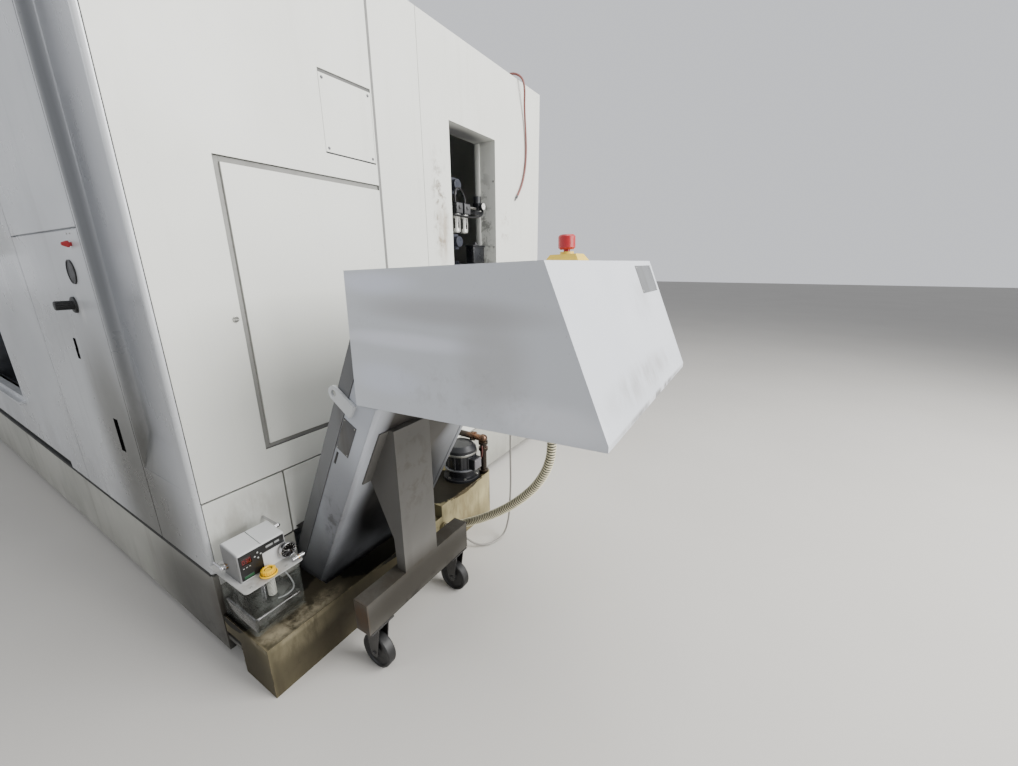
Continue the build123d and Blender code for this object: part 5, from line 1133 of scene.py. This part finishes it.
dial_grey = moulded("dial marks", (0.58, 0.58, 0.57), 0.35, 0.2)
light_keys = moulded("light keys", (0.72, 0.73, 0.72), 0.35, 0.2)
green_key = moulded("green key", (0.10, 0.30, 0.18), 0.35, 0.2)
dial_white = moulded("dial white", (0.88, 0.88, 0.86), 0.35, 0.1)
screen_dark = moulded("screen glass", (0.03, 0.035, 0.045), 0.08, 0.05)
rubber = moulded("rubber", (0.06, 0.06, 0.06), 0.6, 0.4)
# Painted shade for the slots and for the seams and gaps
slot_shade = painted("painted slot shade", (0.05, 0.05, 0.05), 0.9, 0.05, 0.0, 0.0, 0.0, gloss=0.0)
pale_gap_shade = moulded("pale painted gap shade", (0.54, 0.54, 0.525), 0.7, 0.3)
grey_gap_shade = moulded("grey painted gap shade", (0.47, 0.47, 0.46), 0.6, 0.4)
tyre_rubber = moulded("caster tread", (0.07, 0.07, 0.07), 0.5, 0.4)
cream_hose = moulded("cream hose", (0.88, 0.85, 0.72), 0.45, 0.30, groove=(0.07, 0.06, 0.045))
cable_sheath = moulded("cable sheath", (0.56, 0.55, 0.53), 0.45, 0.35)
red_sheath = moulded("red sheath", (0.48, 0.29, 0.27), 0.45, 0.5)
lead_sheath = moulded("pump lead", (0.30, 0.13, 0.11), 0.45, 0.4)
oil = moulded("lubricating oil", (0.085, 0.07, 0.045), 0.08, 0.1, coat=0.5)
basket_plastic = moulded("filler strainer", (0.80, 0.80, 0.76), 0.35, 0.2,
                         groove=(0.25, 0.25, 0.22))
reservoir_clear = clear("clear reservoir", (0.52, 0.54, 0.52), 0.06, 0.04, 0.5)
window_glass = clear("door glass", (0.62, 0.68, 0.70), 0.05, 0.35)

# Making

set_camera()
set_lights()
set_stage()

corrugated_hose(cream_hose)
cable_sleeve = relief("motor_cable_relief", cable_route, cable_radius, 26.0, rubber)
line_sleeve = relief("loose_line_relief", line_route, line_radius, 22.0, rubber)
tip_profile = [(0, 0), (6.6, 0), (6.9, 2), (6.9, 16), (4.2, 19), (3.6, 34), (2.0, 38), (0, 38)]
line_aim = vec(line_route[-1]) - line_route[-2]
line_tip = turned(tip_profile, beyond(line_route, -8), line_aim, 20)
line_tip = piece("loose_line_tip", line_tip, dark_plate)
round_cord("motor_cable_skin", cable_route, 2 * cable_radius / 1000, cable_sheath, "motor_cable")
round_cord("loose_line_skin", line_route, 2 * line_radius / 1000, red_sheath, "loose_line")

# Finish of each machined node
dressing = [
    (side_white, "end_cover_rear end_lower_covers access_panel small_cover roof_cover"),
    (side_white, "rear_covers"),
    (side_pocket, "end_cover_front"),
    (front_grey, "front_column front_panel_upper front_panel_lower front_door_frame"),
    (front_grey, "front_left_cover"),
    (door_white, "front_door operator_panel"),
    (base_paint, "machine_base"),
    (shelf_paint, "lube_bracket"),
    (tank_paint, "coolant_tank"),
    (conveyor_blue, "conveyor_trunk gear_motor"),
    (lug_paint, "lifting_lug"),
    (hood_paint, "conveyor_hood"),
    (leg_paint, "conveyor_leg"),
    (skirt_paint, "trunk_cover"),
    (cast_grey, "slant_bed headstock saddle turret_slide tailstock"),
    (column_paint, "hydraulic_column"),
    (black_casting, "coolant_pump air_unit"),
    (steel, "chuck turret_disc chip_belt head_shaft"),
    (sheet_steel, "work_guard"),
    (oily_black, "caster_forks"),
    (zinc, "levelling_feet access_latch"),
    (chrome, "tailstock_quill lube_gauge lube_fittings"),
    (oily_pipe, "coolant_pipe"),
    (black_plastic, "front_gauge front_knob lube_face"),
    (housing_plastic, "lube_housing"),
    (red_plastic, "front_button operator_stop_button hood_stop_button"),
    (yellow_plastic, "stop_base"),
    (yellow_cap, "lube_cap"),
    (rubber, "entry_seal"),
    (tyre_rubber, "caster_wheel_near caster_wheel_far"),
    (reservoir_clear, "lube_reservoir"),
    (window_glass, "door_window"),
]
for finish, names in dressing:
    for name in names.split():
        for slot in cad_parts[name].material_slots:
            slot.material = finish

trunk_and_hood_details()
cover_screws()
lube_unit()
pump_details()
service_details()
front_details()
linings_and_screws()
